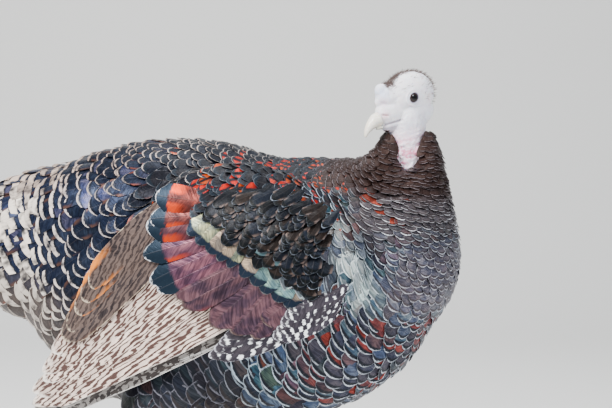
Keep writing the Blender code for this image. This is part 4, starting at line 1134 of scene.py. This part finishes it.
ROWS = (  # distance, from one row to the next, feather's width in that measure
    (0.0, 0.0028, 2.2), (0.05, 0.0032, 2.3), (0.09, 0.0038, 2.2), (0.13, 0.0056, 1.8),
    (0.17, 0.0072, 1.62), (0.22, 0.0090, 1.62), (0.34, 0.0110, 1.62), (0.50, 0.0148, 1.62),
    (0.80, 0.0160, 1.62),
)
FIRST_ROW = 0.0070
SHORTEST_ROW = 0.03  # shorter ones are left out
row_from, row_gap, row_wide = np.array(ROWS).T
levels = [FIRST_ROW]
while levels[-1] < distance.max() - 0.004:
    levels.append(levels[-1] + float(np.interp(levels[-1], row_from, row_gap)))
chance = np.random.default_rng(11)
stands = []
last_count = None
for number, level in enumerate(levels):
    low = distance[triangles] < level
    crossing = np.flatnonzero(low.any(1) & ~low.all(1))
    ends = {}
    for index in crossing:
        cut = []
        for i, j in ((0, 1), (1, 2), (2, 0)):
            if low[index, i] != low[index, j]:
                p, q = sorted((triangles[index, i], triangles[index, j]))
                cut.append((int(p), int(q)))
        for one, other in (cut, cut[::-1]):
            ends.setdefault(one, []).append(other)
    while ends:
        start = next(iter(ends))
        chain = [start]
        here = ends.pop(start)[0]
        while here in ends:
            chain.append(here)
            here = next((other for other in ends.pop(here) if other in ends), None)
        if len(chain) < 8:
            continue
        p, q = np.array(chain).T
        share = (level - distance[p]) / (distance[q] - distance[p])
        line = form_points[p] + (form_points[q] - form_points[p]) * share[:, None]
        begin = int(np.argmax(line[:, 2] - 4 * np.abs(line[:, 1])))
        line = np.roll(line, -begin, axis=0)
        if line[len(line) // 4, 1] > line[-len(line) // 4, 1]:
            line = np.roll(line[::-1], 1, axis=0)
        closed_line = np.r_[line, line[:1]]
        run = np.r_[0, np.cumsum(np.linalg.norm(np.diff(closed_line, axis=0), axis=1))]
        if run[-1] < SHORTEST_ROW:
            continue
        gap = float(np.interp(level, row_from, row_gap))
        wide = gap * float(np.interp(level, row_from, row_wide))
        wanted = run[-1] / wide
        count = max(3, round(wanted))
        if run[-1] > 0.14:
            if last_count and 0.84 < wanted / last_count < 1.18:
                count = last_count
            last_count = count
        share = (np.arange(count) + 0.5 * (number % 2) + chance.uniform(-0.09, 0.09, count)) / count
        at = np.array([np.interp(share % 1, run / run[-1], closed_line[:, k]) for k in range(3)]).T
        stands.append(np.c_[at, np.tile((gap, run[-1] / count, level), (count, 1))])
stands = np.concatenate(stands)

# The wing's coverts take the place of contour feathers on its outside, and the throat is bare
COVERT_AREA = (  # in the side view
    (-0.012, 0.374), (0.020, 0.384), (0.090, 0.380), (0.118, 0.374), (0.134, 0.358), (0.139, 0.336),
    (0.138, 0.302), (0.118, 0.285), (0.050, 0.272), (0.002, 0.285), (-0.014, 0.320),
)
WING_OUTLINE = (  # of the whole folded wing, which hides the tips of feathers under it
    (0.15, 0.30), (0.10, 0.268), (0.05, 0.238), (-0.20, 0.150), (-0.18, 0.19), (-0.115, 0.255),
    (-0.09, 0.29), (0.0, 0.370), (0.06, 0.375), (0.14, 0.36),
)


def inside(px, pz, outline):
    """Which places of the side view lie inside an outline."""
    found = np.zeros(len(px), bool)
    for (ax, az), (bx, bz) in zip(outline, outline[1:] + outline[:1]):
        crosses = (az > pz) != (bz > pz)
        found ^= crosses & (px < (bx - ax) * (pz - az) / (bz - az + 1e-12) + ax)
    return found


own = stands[:, :3] - shift
on_wing = (np.abs(own[:, 1]) > 0.052) & inside(own[:, 0], own[:, 2], COVERT_AREA)
beside = stands[:, :2] - np.array(THROAT_AXIS)[:2]
to_front = beside @ np.array(THROAT_FRONT)[:2]
bare_throat = (np.hypot(*beside.T) < BARE_THROAT_RADIUS) & (stands[:, 2] > 0.400) & (to_front > 0.002)
neck_rim = (stands[:, 2] > 0.4345) & (np.hypot(*beside.T) < 0.0150)
stands = stands[~(on_wing | bare_throat | neck_rim)]
own = stands[:, :3] - shift
count = len(stands)
dice = chance.random((count, 4))

# How long, wide and raised the feathers are, by region. Beside the breast they are broad, lie
# close and tilt all the same way.
broad = smooth_share(0.035, 0.065, np.abs(own[:, 1])) * smooth_share(0.345, 0.315, own[:, 2])
broad *= (
    smooth_share(-0.02, 0.03, own[:, 0]) * smooth_share(0.215, 0.190, own[:, 0])
    * smooth_share(0.195, 0.215, own[:, 2])
)
broad *= np.maximum(smooth_share(0.105, 0.130, own[:, 0]), smooth_share(0.275, 0.262, own[:, 2]))
gap, wide, level = stands[:, 3], stands[:, 4], stands[:, 5]
length = gap * (3.3 + 0.7 * dice[:, 0])
half_width = wide * (0.62 + 0.10 * dice[:, 2])
raised = 0.0008 + 0.07 * gap + chance.uniform(0, 0.0012, count)
tip_round = np.full(count, 0.17)
rump = smooth_share(-0.03, -0.12, own[:, 0]) * smooth_share(0.29, 0.32, own[:, 2])
length *= 1 + 0.25 * rump
half_width *= 1 + 0.05 * rump
tip_round *= 1 - 0.85 * rump
tip_round *= 1 - 0.60 * smooth_share(0.396, 0.412, own[:, 2]) * smooth_share(0.095, 0.050, own[:, 0])
half_width *= 1 + 1.0 * broad
raised -= 0.7 * broad * (raised - raised.min())
tip_round *= 1 - 0.30 * broad
collar = smooth_share(0.34, 0.39, own[:, 2]) * smooth_share(0.145, 0.165, own[:, 0])
raised += (0.0012 * chance.random(count) - 0.0002) * collar
raised *= 0.1 + 0.9 * smooth_share(0.006, 0.022, level)
length *= 0.7 + 0.3 * smooth_share(0.006, 0.016, level)
tip_round *= 1 - 0.45 * collar
scapular_zone = smooth_share(0.125, 0.10, own[:, 0]) * smooth_share(-0.06, -0.02, own[:, 0])
scapular_zone *= smooth_share(0.345, 0.37, own[:, 2])
length *= 1 + 0.35 * scapular_zone
raised += 0.0008 * scapular_zone
depth = np.minimum(COAT_DEPTH * 0.8, 0.45 * gap + 0.0004)

body_blank = blank_sheet(6, 6)
steps = body_blank["steps"]
spot, normal, lie = settled(stands[:, :3])
turned = chance.normal(0, 0.15, count) * (1 - 0.75 * broad)
lie = lie * np.cos(turned)[:, None] + np.cross(normal, lie) * np.sin(turned)[:, None]
line_points, line_normals, line_lies = [spot], [normal], [lie]
heading = lie
for k in range(steps):
    ahead = spot + heading * (length / steps)[:, None]
    spot, normal, lie = settled(ahead)
    heading = heading * 0.55 + lie * 0.45
    heading -= normal * (heading * normal).sum(1, keepdims=True)
    heading /= np.linalg.norm(heading, axis=1, keepdims=True)
    line_points.append(spot)
    line_normals.append(normal)
    line_lies.append(heading)
line_points = np.stack(line_points, 1)
line_normals = np.stack(line_normals, 1)
line_lies = np.stack(line_lies, 1)
UNDER_WING = -0.0035  # how high tips that the wing covers lie
own_tip = line_points[:, -1] - shift
covered = inside(own_tip[:, 0], own_tip[:, 2], WING_OUTLINE) & (np.abs(own_tip[:, 1]) > 0.03)
covered &= (own_tip[:, 2] < 0.36) & ~((np.abs(own_tip[:, 1]) > 0.105) & (own_tip[:, 0] > 0.09))
raised = np.where(covered, UNDER_WING, raised)

VANE_OUTLINE = ((0.0, 0.30), (0.2, 0.62), (0.45, 0.92), (0.7, 1.0), (0.9, 0.96), (1.0, 0.80))
outline_from, outline_wide = np.array(VANE_OUTLINE).T
at = body_blank["at"]
station = np.rint(at[:, 1] * steps).astype(int)
sheet_wide = np.interp(at[:, 1], outline_from, outline_wide)
base = line_points[:, station]
over = line_normals[:, station]
along = line_lies[:, station]
sideways = np.cross(over, along)
offset = half_width[:, None] * sheet_wide * at[:, 0]
askew = chance.normal(0, 0.018, count)[:, None] * at[:, 0]
tip_pull = askew - tip_round[:, None] * at[:, 0] ** 2
tip_pull = length[:, None] * tip_pull * np.clip((at[:, 1] - 0.45) / 0.55, 0, 1) ** 2
climb = -depth[:, None] + (depth + raised)[:, None] * at[:, 1] ** 0.9
climb += (0.06 * length)[:, None] * np.clip(at[:, 1] - 0.8, 0, 1) * (0.4 + dice[:, 1:2])
dome = -(0.13 * half_width)[:, None] * (at[:, 0] ** 2) * (0.4 + 0.6 * at[:, 1])
tilt = chance.normal(0, 0.11, count) * (1 - broad) + 0.085 * broad * np.sign(own[:, 1])
roll = (tilt * half_width)[:, None] * sheet_wide * at[:, 0]
thick = 0.00045 * (1 - 0.45 * np.abs(at[:, 0]))
height = climb + dome + roll + thick * at[:, 2]
body_points = base + sideways * offset[..., None] + along * tip_pull[..., None] + over * height[..., None]
body_points[..., 2] = np.maximum(body_points[..., 2], 0.004)

colours = plumage_at(stands[:, :3], dice)
colours["marks"][:, :2] *= (gap / length * (1 + 0.12 * rump))[:, None]
angle_round = np.arctan2(stands[:, 1], stands[:, 2] - 0.30 - 0.06 * (own[:, 0] > 0.15))
on_unwrap = np.c_[0.015 + 0.965 * (angle_round / (2 * np.pi) + 0.5), 0.015 + 0.965 * level / level.max()]
groups = {
    "collar_feathers": (own[:, 2] > 0.398) & (own[:, 0] > 0.135),
    "neck_feathers": (own[:, 2] > 0.345) & (own[:, 0] > 0.120),
    "breast_feathers": own[:, 0] > 0.075,
    "thigh_feathers": (own[:, 2] < 0.205) & (np.abs(own[:, 0] + 0.02) < 0.08),
    "back_feathers": (own[:, 2] > 0.345) & (own[:, 0] > -0.12),
    "rump_feathers": own[:, 0] < -0.12,
    "flank_feathers": np.ones(count, bool),
}
BODY_PATCH = (0.003, 0.003)  # each feather's share of the unwrap
left_over = np.ones(count, bool)
for name, mask in groups.items():
    chosen = mask & left_over
    left_over &= ~mask
    picked = {key: values[chosen] for key, values in colours.items()}
    laid(
        name, body_blank, body_points[chosen], on_unwrap[chosen], BODY_PATCH, picked, dice[chosen]
    )

# Wings: folded against the sides. Primaries lie lowest, then secondaries, then coverts in tiers
# that fan out from the shoulder. All are laid in the side view on the wing's rounded outside.
long_blank = blank_sheet(6, 18)
covert_blank = blank_sheet(6, 9)


def wing_side(px, pz):
    """How far out the folded quills lie at a place of the side view."""
    along = np.clip(1 - ((px + 0.005) / 0.260) ** 2, 0.05, None)
    over = np.clip(1 - ((pz - 0.300) / 0.200) ** 2, 0.05, None)
    return 0.116 * np.sqrt(along * over)


def shoulder_side(px, pz):
    """How far out the wing's fleshy part reaches at a place of the side view."""
    (cx, cy, cz), (a, b, c), down = PADS[0]
    turn = math.radians(down)
    dx, dz = px - cx, pz - cz
    u = dx * math.cos(turn) + dz * math.sin(turn)
    w = -dx * math.sin(turn) + dz * math.cos(turn)
    return -cy + b * np.sqrt(np.clip(1 - (u / a) ** 2 - (w / c) ** 2, 0, None))


def covert_side(px, pz):
    """How far out the coverts lie, over the quills and over the fleshy part."""
    return np.maximum(wing_side(px, pz) + 0.0150, shoulder_side(px, pz))


def on_side(side_of, px, pz, lift):
    """Points over the right side of the bird, lifted square to a surface given by side_of."""
    step = 0.006
    slope_x = (side_of(px + step, pz) - side_of(px - step, pz)) / (2 * step)
    slope_z = (side_of(px, pz + step) - side_of(px, pz - step)) / (2 * step)
    slope_x, slope_z = np.clip(slope_x, -1.6, 1.6), np.clip(slope_z, -1.6, 1.6)
    normal = np.stack([-slope_x, -np.ones_like(px), -slope_z], -1)
    normal /= np.linalg.norm(normal, axis=-1, keepdims=True)
    return np.stack([px, -side_of(px, pz), pz], -1) + normal * lift[..., None]


FLIGHT_OUTLINE = (
    (0.0, 0.20), (0.15, 0.62), (0.35, 0.92), (0.65, 1.0), (0.88, 0.93), (0.96, 0.80), (1.0, 0.62),
)


def wing_tier(
    blank, roots, tips, half_width, lift, lean, side_of, outline, bow=0.0, tip_round=0.1, sink=0.0, rise=0.0
):
    """Feathers from roots to tips in the side view. Each leans, so that its upper edge slides
    under the next one, and bow bends it down towards its tip."""
    roots, tips = np.array(roots), np.array(tips)
    run = tips - roots
    length = np.linalg.norm(run, axis=1, keepdims=True)
    ahead = run / length
    upward = np.c_[ahead[:, 1], -ahead[:, 0]]
    at = blank["at"]
    wide = np.interp(at[:, 1], *np.array(outline).T)
    near_tip = np.clip((at[:, 1] - 0.6) / 0.4, 0, 1) ** 2
    s = at[:, 1] * length - length * tip_round * at[:, 0] ** 2 * near_tip
    q = np.asarray(half_width).reshape(-1, 1) * wide * at[:, 0]
    bent = -bow * length * (at[:, 1] ** 2 - at[:, 1]) * 4
    px = roots[:, :1] + ahead[:, :1] * s + upward[:, :1] * (q + bent)
    pz = roots[:, 1:] + ahead[:, 1:] * s + upward[:, 1:] * (q + bent)
    dome = -0.10 * np.abs(q) * np.abs(at[:, 0])
    thick = 0.0006 * (1 - 0.5 * np.abs(at[:, 0])) * at[:, 2]
    sink = np.asarray(sink).reshape(-1, 1)
    climb = -sink + (sink + rise) * np.clip(at[:, 1] * 1.15, 0, 1)
    return on_side(side_of, px, pz, np.asarray(lift).reshape(-1, 1) - q * lean + dome + thick + climb)


def even(count, first, last):
    """Points evenly spaced from the first to the last."""
    share = np.linspace(0, 1, count)[:, None]
    return np.array(first) + (np.array(last) - np.array(first)) * share


def paint_all(count, **colours):
    """The same colours for a whole tier, before its own changes."""
    return {key: np.tile(np.array(value, float), (count, 1)) for key, value in colours.items()}


def quill_tier(count, ragged, roots, tips, half_width, lift, lean, bow=0.0, tip_round=0.1, **colours):
    """A tier of long quills, their tips a little ragged, with their paint."""
    tips = even(count, *tips) + chance.normal(0, ragged, (count, 2))
    points = wing_tier(
        long_blank, even(count, *roots), tips, half_width, lift, lean, wing_side, FLIGHT_OUTLINE,
        bow=bow, tip_round=tip_round,
    )
    return points, paint_all(count, **colours)


# Primaries: dark brown, the outer webs barred with white
primaries = quill_tier(
    8, 0.0025, ((0.052, 0.256), (0.112, 0.284)), ((-0.192, 0.158), (-0.150, 0.188)), 0.0135, 0.0030, 0.16,
    bow=0.012, ground=(0.055, 0.045, 0.042, 0.15), band=(0.06, 0.05, 0.048, 1), edge=(0.62, 0.60, 0.58, 1),
    fringe=(0.66, 0.63, 0.60, 0.35), bars=(0.42, 0.39, 0.37, 0.55), marks=(0.020, 0.02, 13),
)
# Secondaries: pinkish buff with fine wavy brown lines
secondaries = quill_tier(
    10, 0.003, ((0.096, 0.292), (0.024, 0.350)), ((-0.168, 0.182), (-0.118, 0.240)), 0.0165, 0.0088, 0.13,
    bow=0.010, ground=(0.86, 0.68, 0.58, 0.03), band=(0.60, 0.48, 0.42, 1), edge=(0.84, 0.77, 0.71, 1),
    fringe=(0.74, 0.62, 0.54, 0.0), bars=(0.060, 0.028, 0.024, 0.98), marks=(0.014, 0.0, 22),
)
# Tertials: olive brown, glossed with pink, with fiery edges
tertials = quill_tier(
    5, 0.002, ((0.020, 0.350), (0.010, 0.378)), ((-0.112, 0.246), (-0.074, 0.300)), 0.0170, 0.0118, 0.13,
    tip_round=0.06, ground=(0.085, 0.060, 0.052, 0.35), band=(0.13, 0.105, 0.090, 1),
    edge=(0.50, 0.40, 0.30, 1), fringe=(0.80, 0.24, 0.03, 0.05), bars=(0.24, 0.170, 0.145, 0.34),
    marks=(0.010, 0.0, 19),
)
tertials[1]["fringe"][:, 3] = (0.05, 0.15, 0.30, 0.45, 0.60)
# Barred coverts of the hand: grey-brown, crossed with white
hand_roots = np.r_[even(6, (0.120, 0.268), (0.142, 0.302)), even(5, (0.150, 0.283), (0.158, 0.305))]
hand_tips = np.r_[even(6, (0.040, 0.243), (0.066, 0.272)), even(5, (0.098, 0.262), (0.112, 0.285))]
points = wing_tier(
    covert_blank, hand_roots, hand_tips, 0.0088, np.r_[np.full(6, 0.0135), np.full(5, 0.0165)],
    0.15, wing_side, FLIGHT_OUTLINE, bow=-0.02,
)
paint = paint_all(
    11, ground=(0.052, 0.044, 0.055, 0.20), band=(0.045, 0.040, 0.048, 1), edge=(0.50, 0.50, 0.56, 0.4),
    fringe=(0.5, 0.5, 0.5, 0.0), bars=(0.94, 0.96, 1.00, 0.96), marks=(0.016, 0.05, 7.4),
)
covert_sheets = [(points, paint)]


def spread(line, count):
    """Points evenly spaced along a smooth line."""
    fine = curved(line, 61)
    run = np.r_[0, np.cumsum(np.linalg.norm(np.diff(fine, axis=0), axis=1))]
    wanted = np.linspace(0, run[-1], count)
    return np.c_[np.interp(wanted, run, fine[:, 0]), np.interp(wanted, run, fine[:, 1])]


# Greater coverts: rose bronze with dark blue round tips, thinly edged white and fringed orange
GREATER_TIPS = (
    (-0.014, 0.380), (-0.019, 0.348), (-0.009, 0.312), (0.014, 0.284), (0.050, 0.270), (0.094, 0.268),
)
GREATER_ROOTS = (
    (0.046, 0.374), (0.058, 0.358), (0.074, 0.342), (0.090, 0.328), (0.108, 0.314), (0.126, 0.300),
)
GREATER_COUNT = 12
tips = spread(GREATER_TIPS, GREATER_COUNT) + chance.normal(0, 0.0042, (GREATER_COUNT, 2))
points = wing_tier(
    covert_blank, spread(GREATER_ROOTS, GREATER_COUNT), tips,
    0.0126 * chance.uniform(0.85, 1.2, GREATER_COUNT), 0.0, 0.10, covert_side, VANE_OUTLINE,
    tip_round=0.13, sink=0.002, rise=0.0012,
)
paint = paint_all(
    GREATER_COUNT, ground=(0.240, 0.094, 0.124, 0.46), band=(0.008, 0.016, 0.027, 1),
    edge=(0.60, 0.62, 0.66, 0.1), fringe=(0.42, 0.034, 0.005, 0.25), bars=(0.3, 0.2, 0.2, 0.0),
    marks=(0.013, 0.17, 4),
)
paint["ground"][:, :3] *= chance.uniform(0.85, 1.15, (GREATER_COUNT, 1))
paint["ground"][6:, :3] *= (0.62, 0.78, 0.70)
paint["band"][6:, :3] = (0.070, 0.044, 0.042)
paint["edge"][6:, :3] = (0.16, 0.12, 0.11)
paint["marks"][:, 1] *= chance.uniform(0.8, 1.35, GREATER_COUNT)
paint["marks"][6:, 1] = 0.02
paint["fringe"][:, 3] = (0.90, 0.75, 0.50, 0.30, 0.15, 0.20, 0.05, 0.10, 0.0, 0.0, 0.0, 0.0)
paint["ground"][:3, :3] = ((0.130, 0.022, 0.016), (0.160, 0.040, 0.034), (0.190, 0.066, 0.070))
covert_sheets.append((points, paint))
# Median and lesser coverts lie in rows across the wing, up to the shoulder. All point down and
# back, and the feathers of each row turn a little further down towards the front.
ROW_START = np.array((0.032, 0.341))
ROW_COURSE = np.array((0.826, -0.564))
ROW_RISE = np.array((0.564, 0.826))
COVERT_ROWS = (  # height over the lowest row, start and end along it, half width, length
    (0.0000, -0.010, 0.106, 0.0094, 0.046),
    (0.0175, -0.008, 0.108, 0.0078, 0.036),
    (0.0240, -0.006, 0.109, 0.0068, 0.031),
    (0.0300, -0.002, 0.107, 0.0064, 0.029),
    (0.0360, 0.002, 0.105, 0.0060, 0.027),
    (0.0420, 0.006, 0.102, 0.0057, 0.026),
    (0.0480, 0.014, 0.098, 0.0054, 0.025),
    (0.0540, 0.024, 0.094, 0.0051, 0.024),
    (0.0600, 0.034, 0.089, 0.0048, 0.023),
    (0.0660, 0.046, 0.084, 0.0046, 0.022),
)
for number, (over, first, last, wide_in, long_in) in enumerate(COVERT_ROWS):
    count_in = round((last - first) / (wide_in * 1.28))
    share = (np.arange(count_in) + 0.5 * (number % 2)) / (count_in - 0.5)
    tips = ROW_START + ROW_RISE * over + ROW_COURSE * (first + (last - first) * share)[:, None]
    tips += chance.normal(0, 0.0009 if number == 0 else 0.0024, (count_in, 2))
    angle = np.radians(55.7 + 30 * (share - 0.5) + chance.normal(0, 3 if number == 0 else 11, count_in))
    long = long_in * chance.uniform(0.92, 1.08, count_in)
    roots = tips + np.c_[np.cos(angle), np.sin(angle)] * long[:, None]
    lift = 0.0008 * (number + 1) + chance.uniform(0, 0.0008, count_in)
    points = wing_tier(
        covert_blank, roots, tips, wide_in * chance.uniform(0.80, 1.25, count_in), lift, 0.09, covert_side,
        VANE_OUTLINE, tip_round=0.17, sink=0.0035 + 0.0105 * smooth_share(0.78, 1.0, share), rise=0.0012,
    )
    paint = paint_all(
        count_in, ground=(0.006, 0.008, 0.013, 0.18), band=(0.002, 0.003, 0.004, 1),
        edge=(0.085, 0.100, 0.125, 0.5), fringe=(0.10, 0.07, 0.06, 0.30), bars=(0.3, 0.2, 0.2, 0.0),
        marks=(0.022, 0.10, 4),
    )
    faded = chance.uniform(0.2, 1.0, (count_in, 1))
    paint["edge"][:, :3] *= faded * (1 + 1.4 * (chance.random((count_in, 1)) < 0.25))
    paint["ground"][:, :3] *= chance.uniform(0.4, 1.8, (count_in, 1))
    brown = chance.random(count_in) < 0.28
    paint["ground"][brown, :3] = (0.018, 0.012, 0.010)
    if number == 0:
        green = (share[:, None] > 0.55) & (share[:, None] < 0.90)
        paint["ground"][:] = np.where(green, (0.30, 0.46, 0.38, 0.45), (0.44, 0.44, 0.25, 0.45))
        paint["ground"][share > 0.90] = (0.05, 0.07, 0.10, 0.40)
        tan = (chance.random(count_in) < 0.35) & ~green[:, 0]
        paint["ground"][tan] = (0.50, 0.37, 0.25, 0.40)
        paint["ground"][:, :3] *= chance.uniform(0.70, 1.15, (count_in, 1))
        paint["band"][:] = (0.008, 0.014, 0.026, 1)
        paint["marks"][:] = (0.012, 0.17, 4)
        paint["edge"][:, :3] = 0.10
        paint["fringe"][:, 3] = 0
    # Painted glints: a pale teal ground on some feathers of the second and third rows.
    if number in (1, 2):
        glint = (share > 0.55) & (share < 0.88) & (chance.random(count_in) < 0.55)
        paint["ground"][glint, :3] = (0.10, 0.18, 0.19)
    covert_sheets.append((points, paint))

# Both wings are joined from the same tiers. The left is the right one mirrored, with the corners
# of its faces turned round again.
UNWRAP_COLUMNS = 26
for side, word in ((-1, "right"), (1, "left")):
    for group, blank, sheets in (
        ("flight_quills_", long_blank, (primaries, secondaries, tertials)),
        ("wing_coverts_", covert_blank, covert_sheets),
    ):
        points = np.concatenate([places for places, _ in sheets])
        colours = {key: np.concatenate([paint[key] for _, paint in sheets]) for key in sheets[0][1]}
        rolls = chance.random((len(points), 4))
        colours["ground"][:, :3] *= 0.85 + 0.3 * rolls[:, :1]
        column = np.arange(len(points)) % UNWRAP_COLUMNS
        row = np.arange(len(points)) // UNWRAP_COLUMNS
        tall = max(2, int(row.max()) + 1)
        strip = (0.9 / UNWRAP_COLUMNS, 0.94 / tall)
        roots = np.c_[0.01 + column / UNWRAP_COLUMNS * 0.98, 0.01 + row * 0.98 / tall]
        sheet = dict(blank)
        if side > 0:
            points = points * (1, -1, 1)
            sheet["faces"] = blank["faces"][:, ::-1]
        nodes = ("wing_" + word,) if group == "flight_quills_" else ()
        laid(group + word, sheet, points + shift, roots, strip, colours, rolls, nodes)

# Tail: folded flat, eighteen quills in one fan under three tiers of coverts. The quills are
# barred brown with a dark band and a pale tip, and the coverts end in wide cream.
TAIL_APEX = Vector((-0.165, 0, 0.392))
TAIL_DOWN = math.radians(24)
TAIL_ARCH = 3.6
TAIL_QUILLS = 18
tail_back = np.array((-math.cos(TAIL_DOWN), 0, -math.sin(TAIL_DOWN)))
tail_up = np.array((-math.sin(TAIL_DOWN), 0, math.cos(TAIL_DOWN)))


def tail_tier(blank, turns, start, length, half_width, lift, outline, tip_round):
    """A fan of tail feathers. Those further out lie under those nearer the middle."""
    at = blank["at"]
    wide = np.interp(at[:, 1], *np.array(outline).T)
    angle = np.radians(turns)[:, None]
    side = np.where(angle < 0, -1, 1)
    near_tip = np.clip((at[:, 1] - 0.75) / 0.25, 0, 1) ** 2
    s = start + length[:, None] * (at[:, 1] - tip_round * at[:, 0] ** 2 * near_tip)
    q = half_width * wide * at[:, 0]
    along = s * np.cos(angle) - q * np.sin(angle)
    across = s * np.sin(angle) + q * np.cos(angle)
    lean = 0.060 * q * side + lift - 0.0003 * np.abs(np.degrees(angle))
    height = lean - TAIL_ARCH * across**2 + 0.0007 * at[:, 2]
    spots = np.array(TAIL_APEX) + along[..., None] * tail_back + height[..., None] * tail_up
    spots[..., 1] += across
    return spots + shift


turns = (np.arange(TAIL_QUILLS) - (TAIL_QUILLS - 1) / 2) * 1.42
length = 0.232 - 0.0010 * np.abs(turns) + chance.uniform(-0.002, 0.002, TAIL_QUILLS)
quills = tail_tier(long_blank, turns, 0.085, length, 0.0200, -0.020, FLIGHT_OUTLINE, 0.05)
paint = paint_all(
    TAIL_QUILLS, ground=(0.090, 0.066, 0.055, 0.25), band=(0.020, 0.018, 0.018, 1),
    edge=(0.62, 0.54, 0.45, 0), fringe=(0.3, 0.15, 0.08, 0.2), bars=(0.22, 0.14, 0.095, 0.75),
    marks=(0.075, 0.14, 15),
)
rolls = chance.random((TAIL_QUILLS, 4))


def in_a_row(count):
    """Places side by side on the unwrap."""
    return np.c_[0.01 + np.arange(count) / count * 0.98, np.full(count, 0.01)]


roots = in_a_row(TAIL_QUILLS)
laid("tail_quills", long_blank, quills, roots, (0.05, 0.95), paint, rolls, ("tail",))
tiers = []
for count_in, fan_step, start, reach_out, lift in (
    (9, 2.9, 0.062, 0.158, -0.0135),
    (8, 3.5, 0.040, 0.150, -0.0090),
    (7, 4.2, 0.020, 0.140, -0.0045),
):
    turns = (np.arange(count_in) - (count_in - 1) / 2) * fan_step
    length = reach_out - 0.0012 * np.abs(turns)
    wide_in = 0.0190 if count_in > 7 else 0.0185
    tiers.append(tail_tier(covert_blank, turns, start, length, wide_in, lift, VANE_OUTLINE, 0.07))
points = np.concatenate(tiers)
colours = paint_all(
    len(points), ground=(0.045, 0.055, 0.085, 0.5), band=(0.018, 0.020, 0.030, 1),
    edge=(0.72, 0.63, 0.54, 0), fringe=(0.55, 0.20, 0.08, 0.35), bars=(0.3, 0.2, 0.15, 0.2),
    marks=(0.17, 0.20, 8),
)
rolls = chance.random((len(points), 4))
roots, strip = in_a_row(len(points)), (0.9 / len(points), 0.95)
laid("tail_coverts", covert_blank, points, roots, strip, colours, rolls)

# Bristles: short dark hair-like feathers in a stripe over the crown, thinning out on the nape.
# Each is a thin closed cone that stands on the skin and leans back.
bristle_paint, tree, shader = new_paint("bristles")
where = on_object(tree)
shade = mixed_colour(tree, noise_on(tree, where, 500.0), (0.030, 0.020, 0.018), (0.16, 0.10, 0.085))
tree.links.new(shade, shader.inputs["Base Color"])
shader.inputs["Roughness"].default_value = 0.6
head_spots = points_of(skin.data)
head_normals = points_of(skin.data, "normal")
x, y, z = in_head(head_spots).T
crown_wide = 4.2 + 2.6 * smooth_share(2, 16, x)
crown = smooth_share(3, 8, z) * np.exp(-((y / crown_wide) ** 4))
crown *= smooth_share(20.5, 17.5, x) * (0.25 + 0.75 * smooth_share(-6, 10, x))
nape = 0.10 * smooth_share(-14, -22, x) * smooth_share(-14, 2, z) * np.exp(-((y / 9) ** 2))
sparse = 0.012 * (x < 8) * (z > -6) * (np.hypot(x, z) > 10)
wish = np.where(head_spots[:, 2] > HEAD_FOOT, crown + nape + sparse, 0)
BRISTLES = 1100
picked = chance.choice(len(wish), BRISTLES, replace=False, p=wish / wish.sum())
backwards = (head_place.to_3x3() @ Vector((-1, 0, 0))).normalized()
tuft = bmesh.new()
for index in picked:
    out = Vector(head_normals[index])
    reach_out = chance.uniform(0.0022, 0.0048)
    lean = out * 0.55 + backwards * chance.uniform(0.4, 1.1) + Vector(chance.normal(0, 0.22, 3))
    lean.normalize()
    place = Matrix.Translation(Vector(head_spots[index]) + lean * reach_out * 0.42)
    place = place @ lean.to_track_quat("Z", "Y").to_matrix().to_4x4()
    bmesh.ops.create_cone(
        tuft, cap_ends=True, segments=4, radius1=0.00016, radius2=0.00004, depth=reach_out, matrix=place
    )
bristles = set_down("bristles", tuft)
bristles.data.materials.append(bristle_paint)
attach(bristles, "root")

bpy.data.objects.remove(form, do_unlink=True)
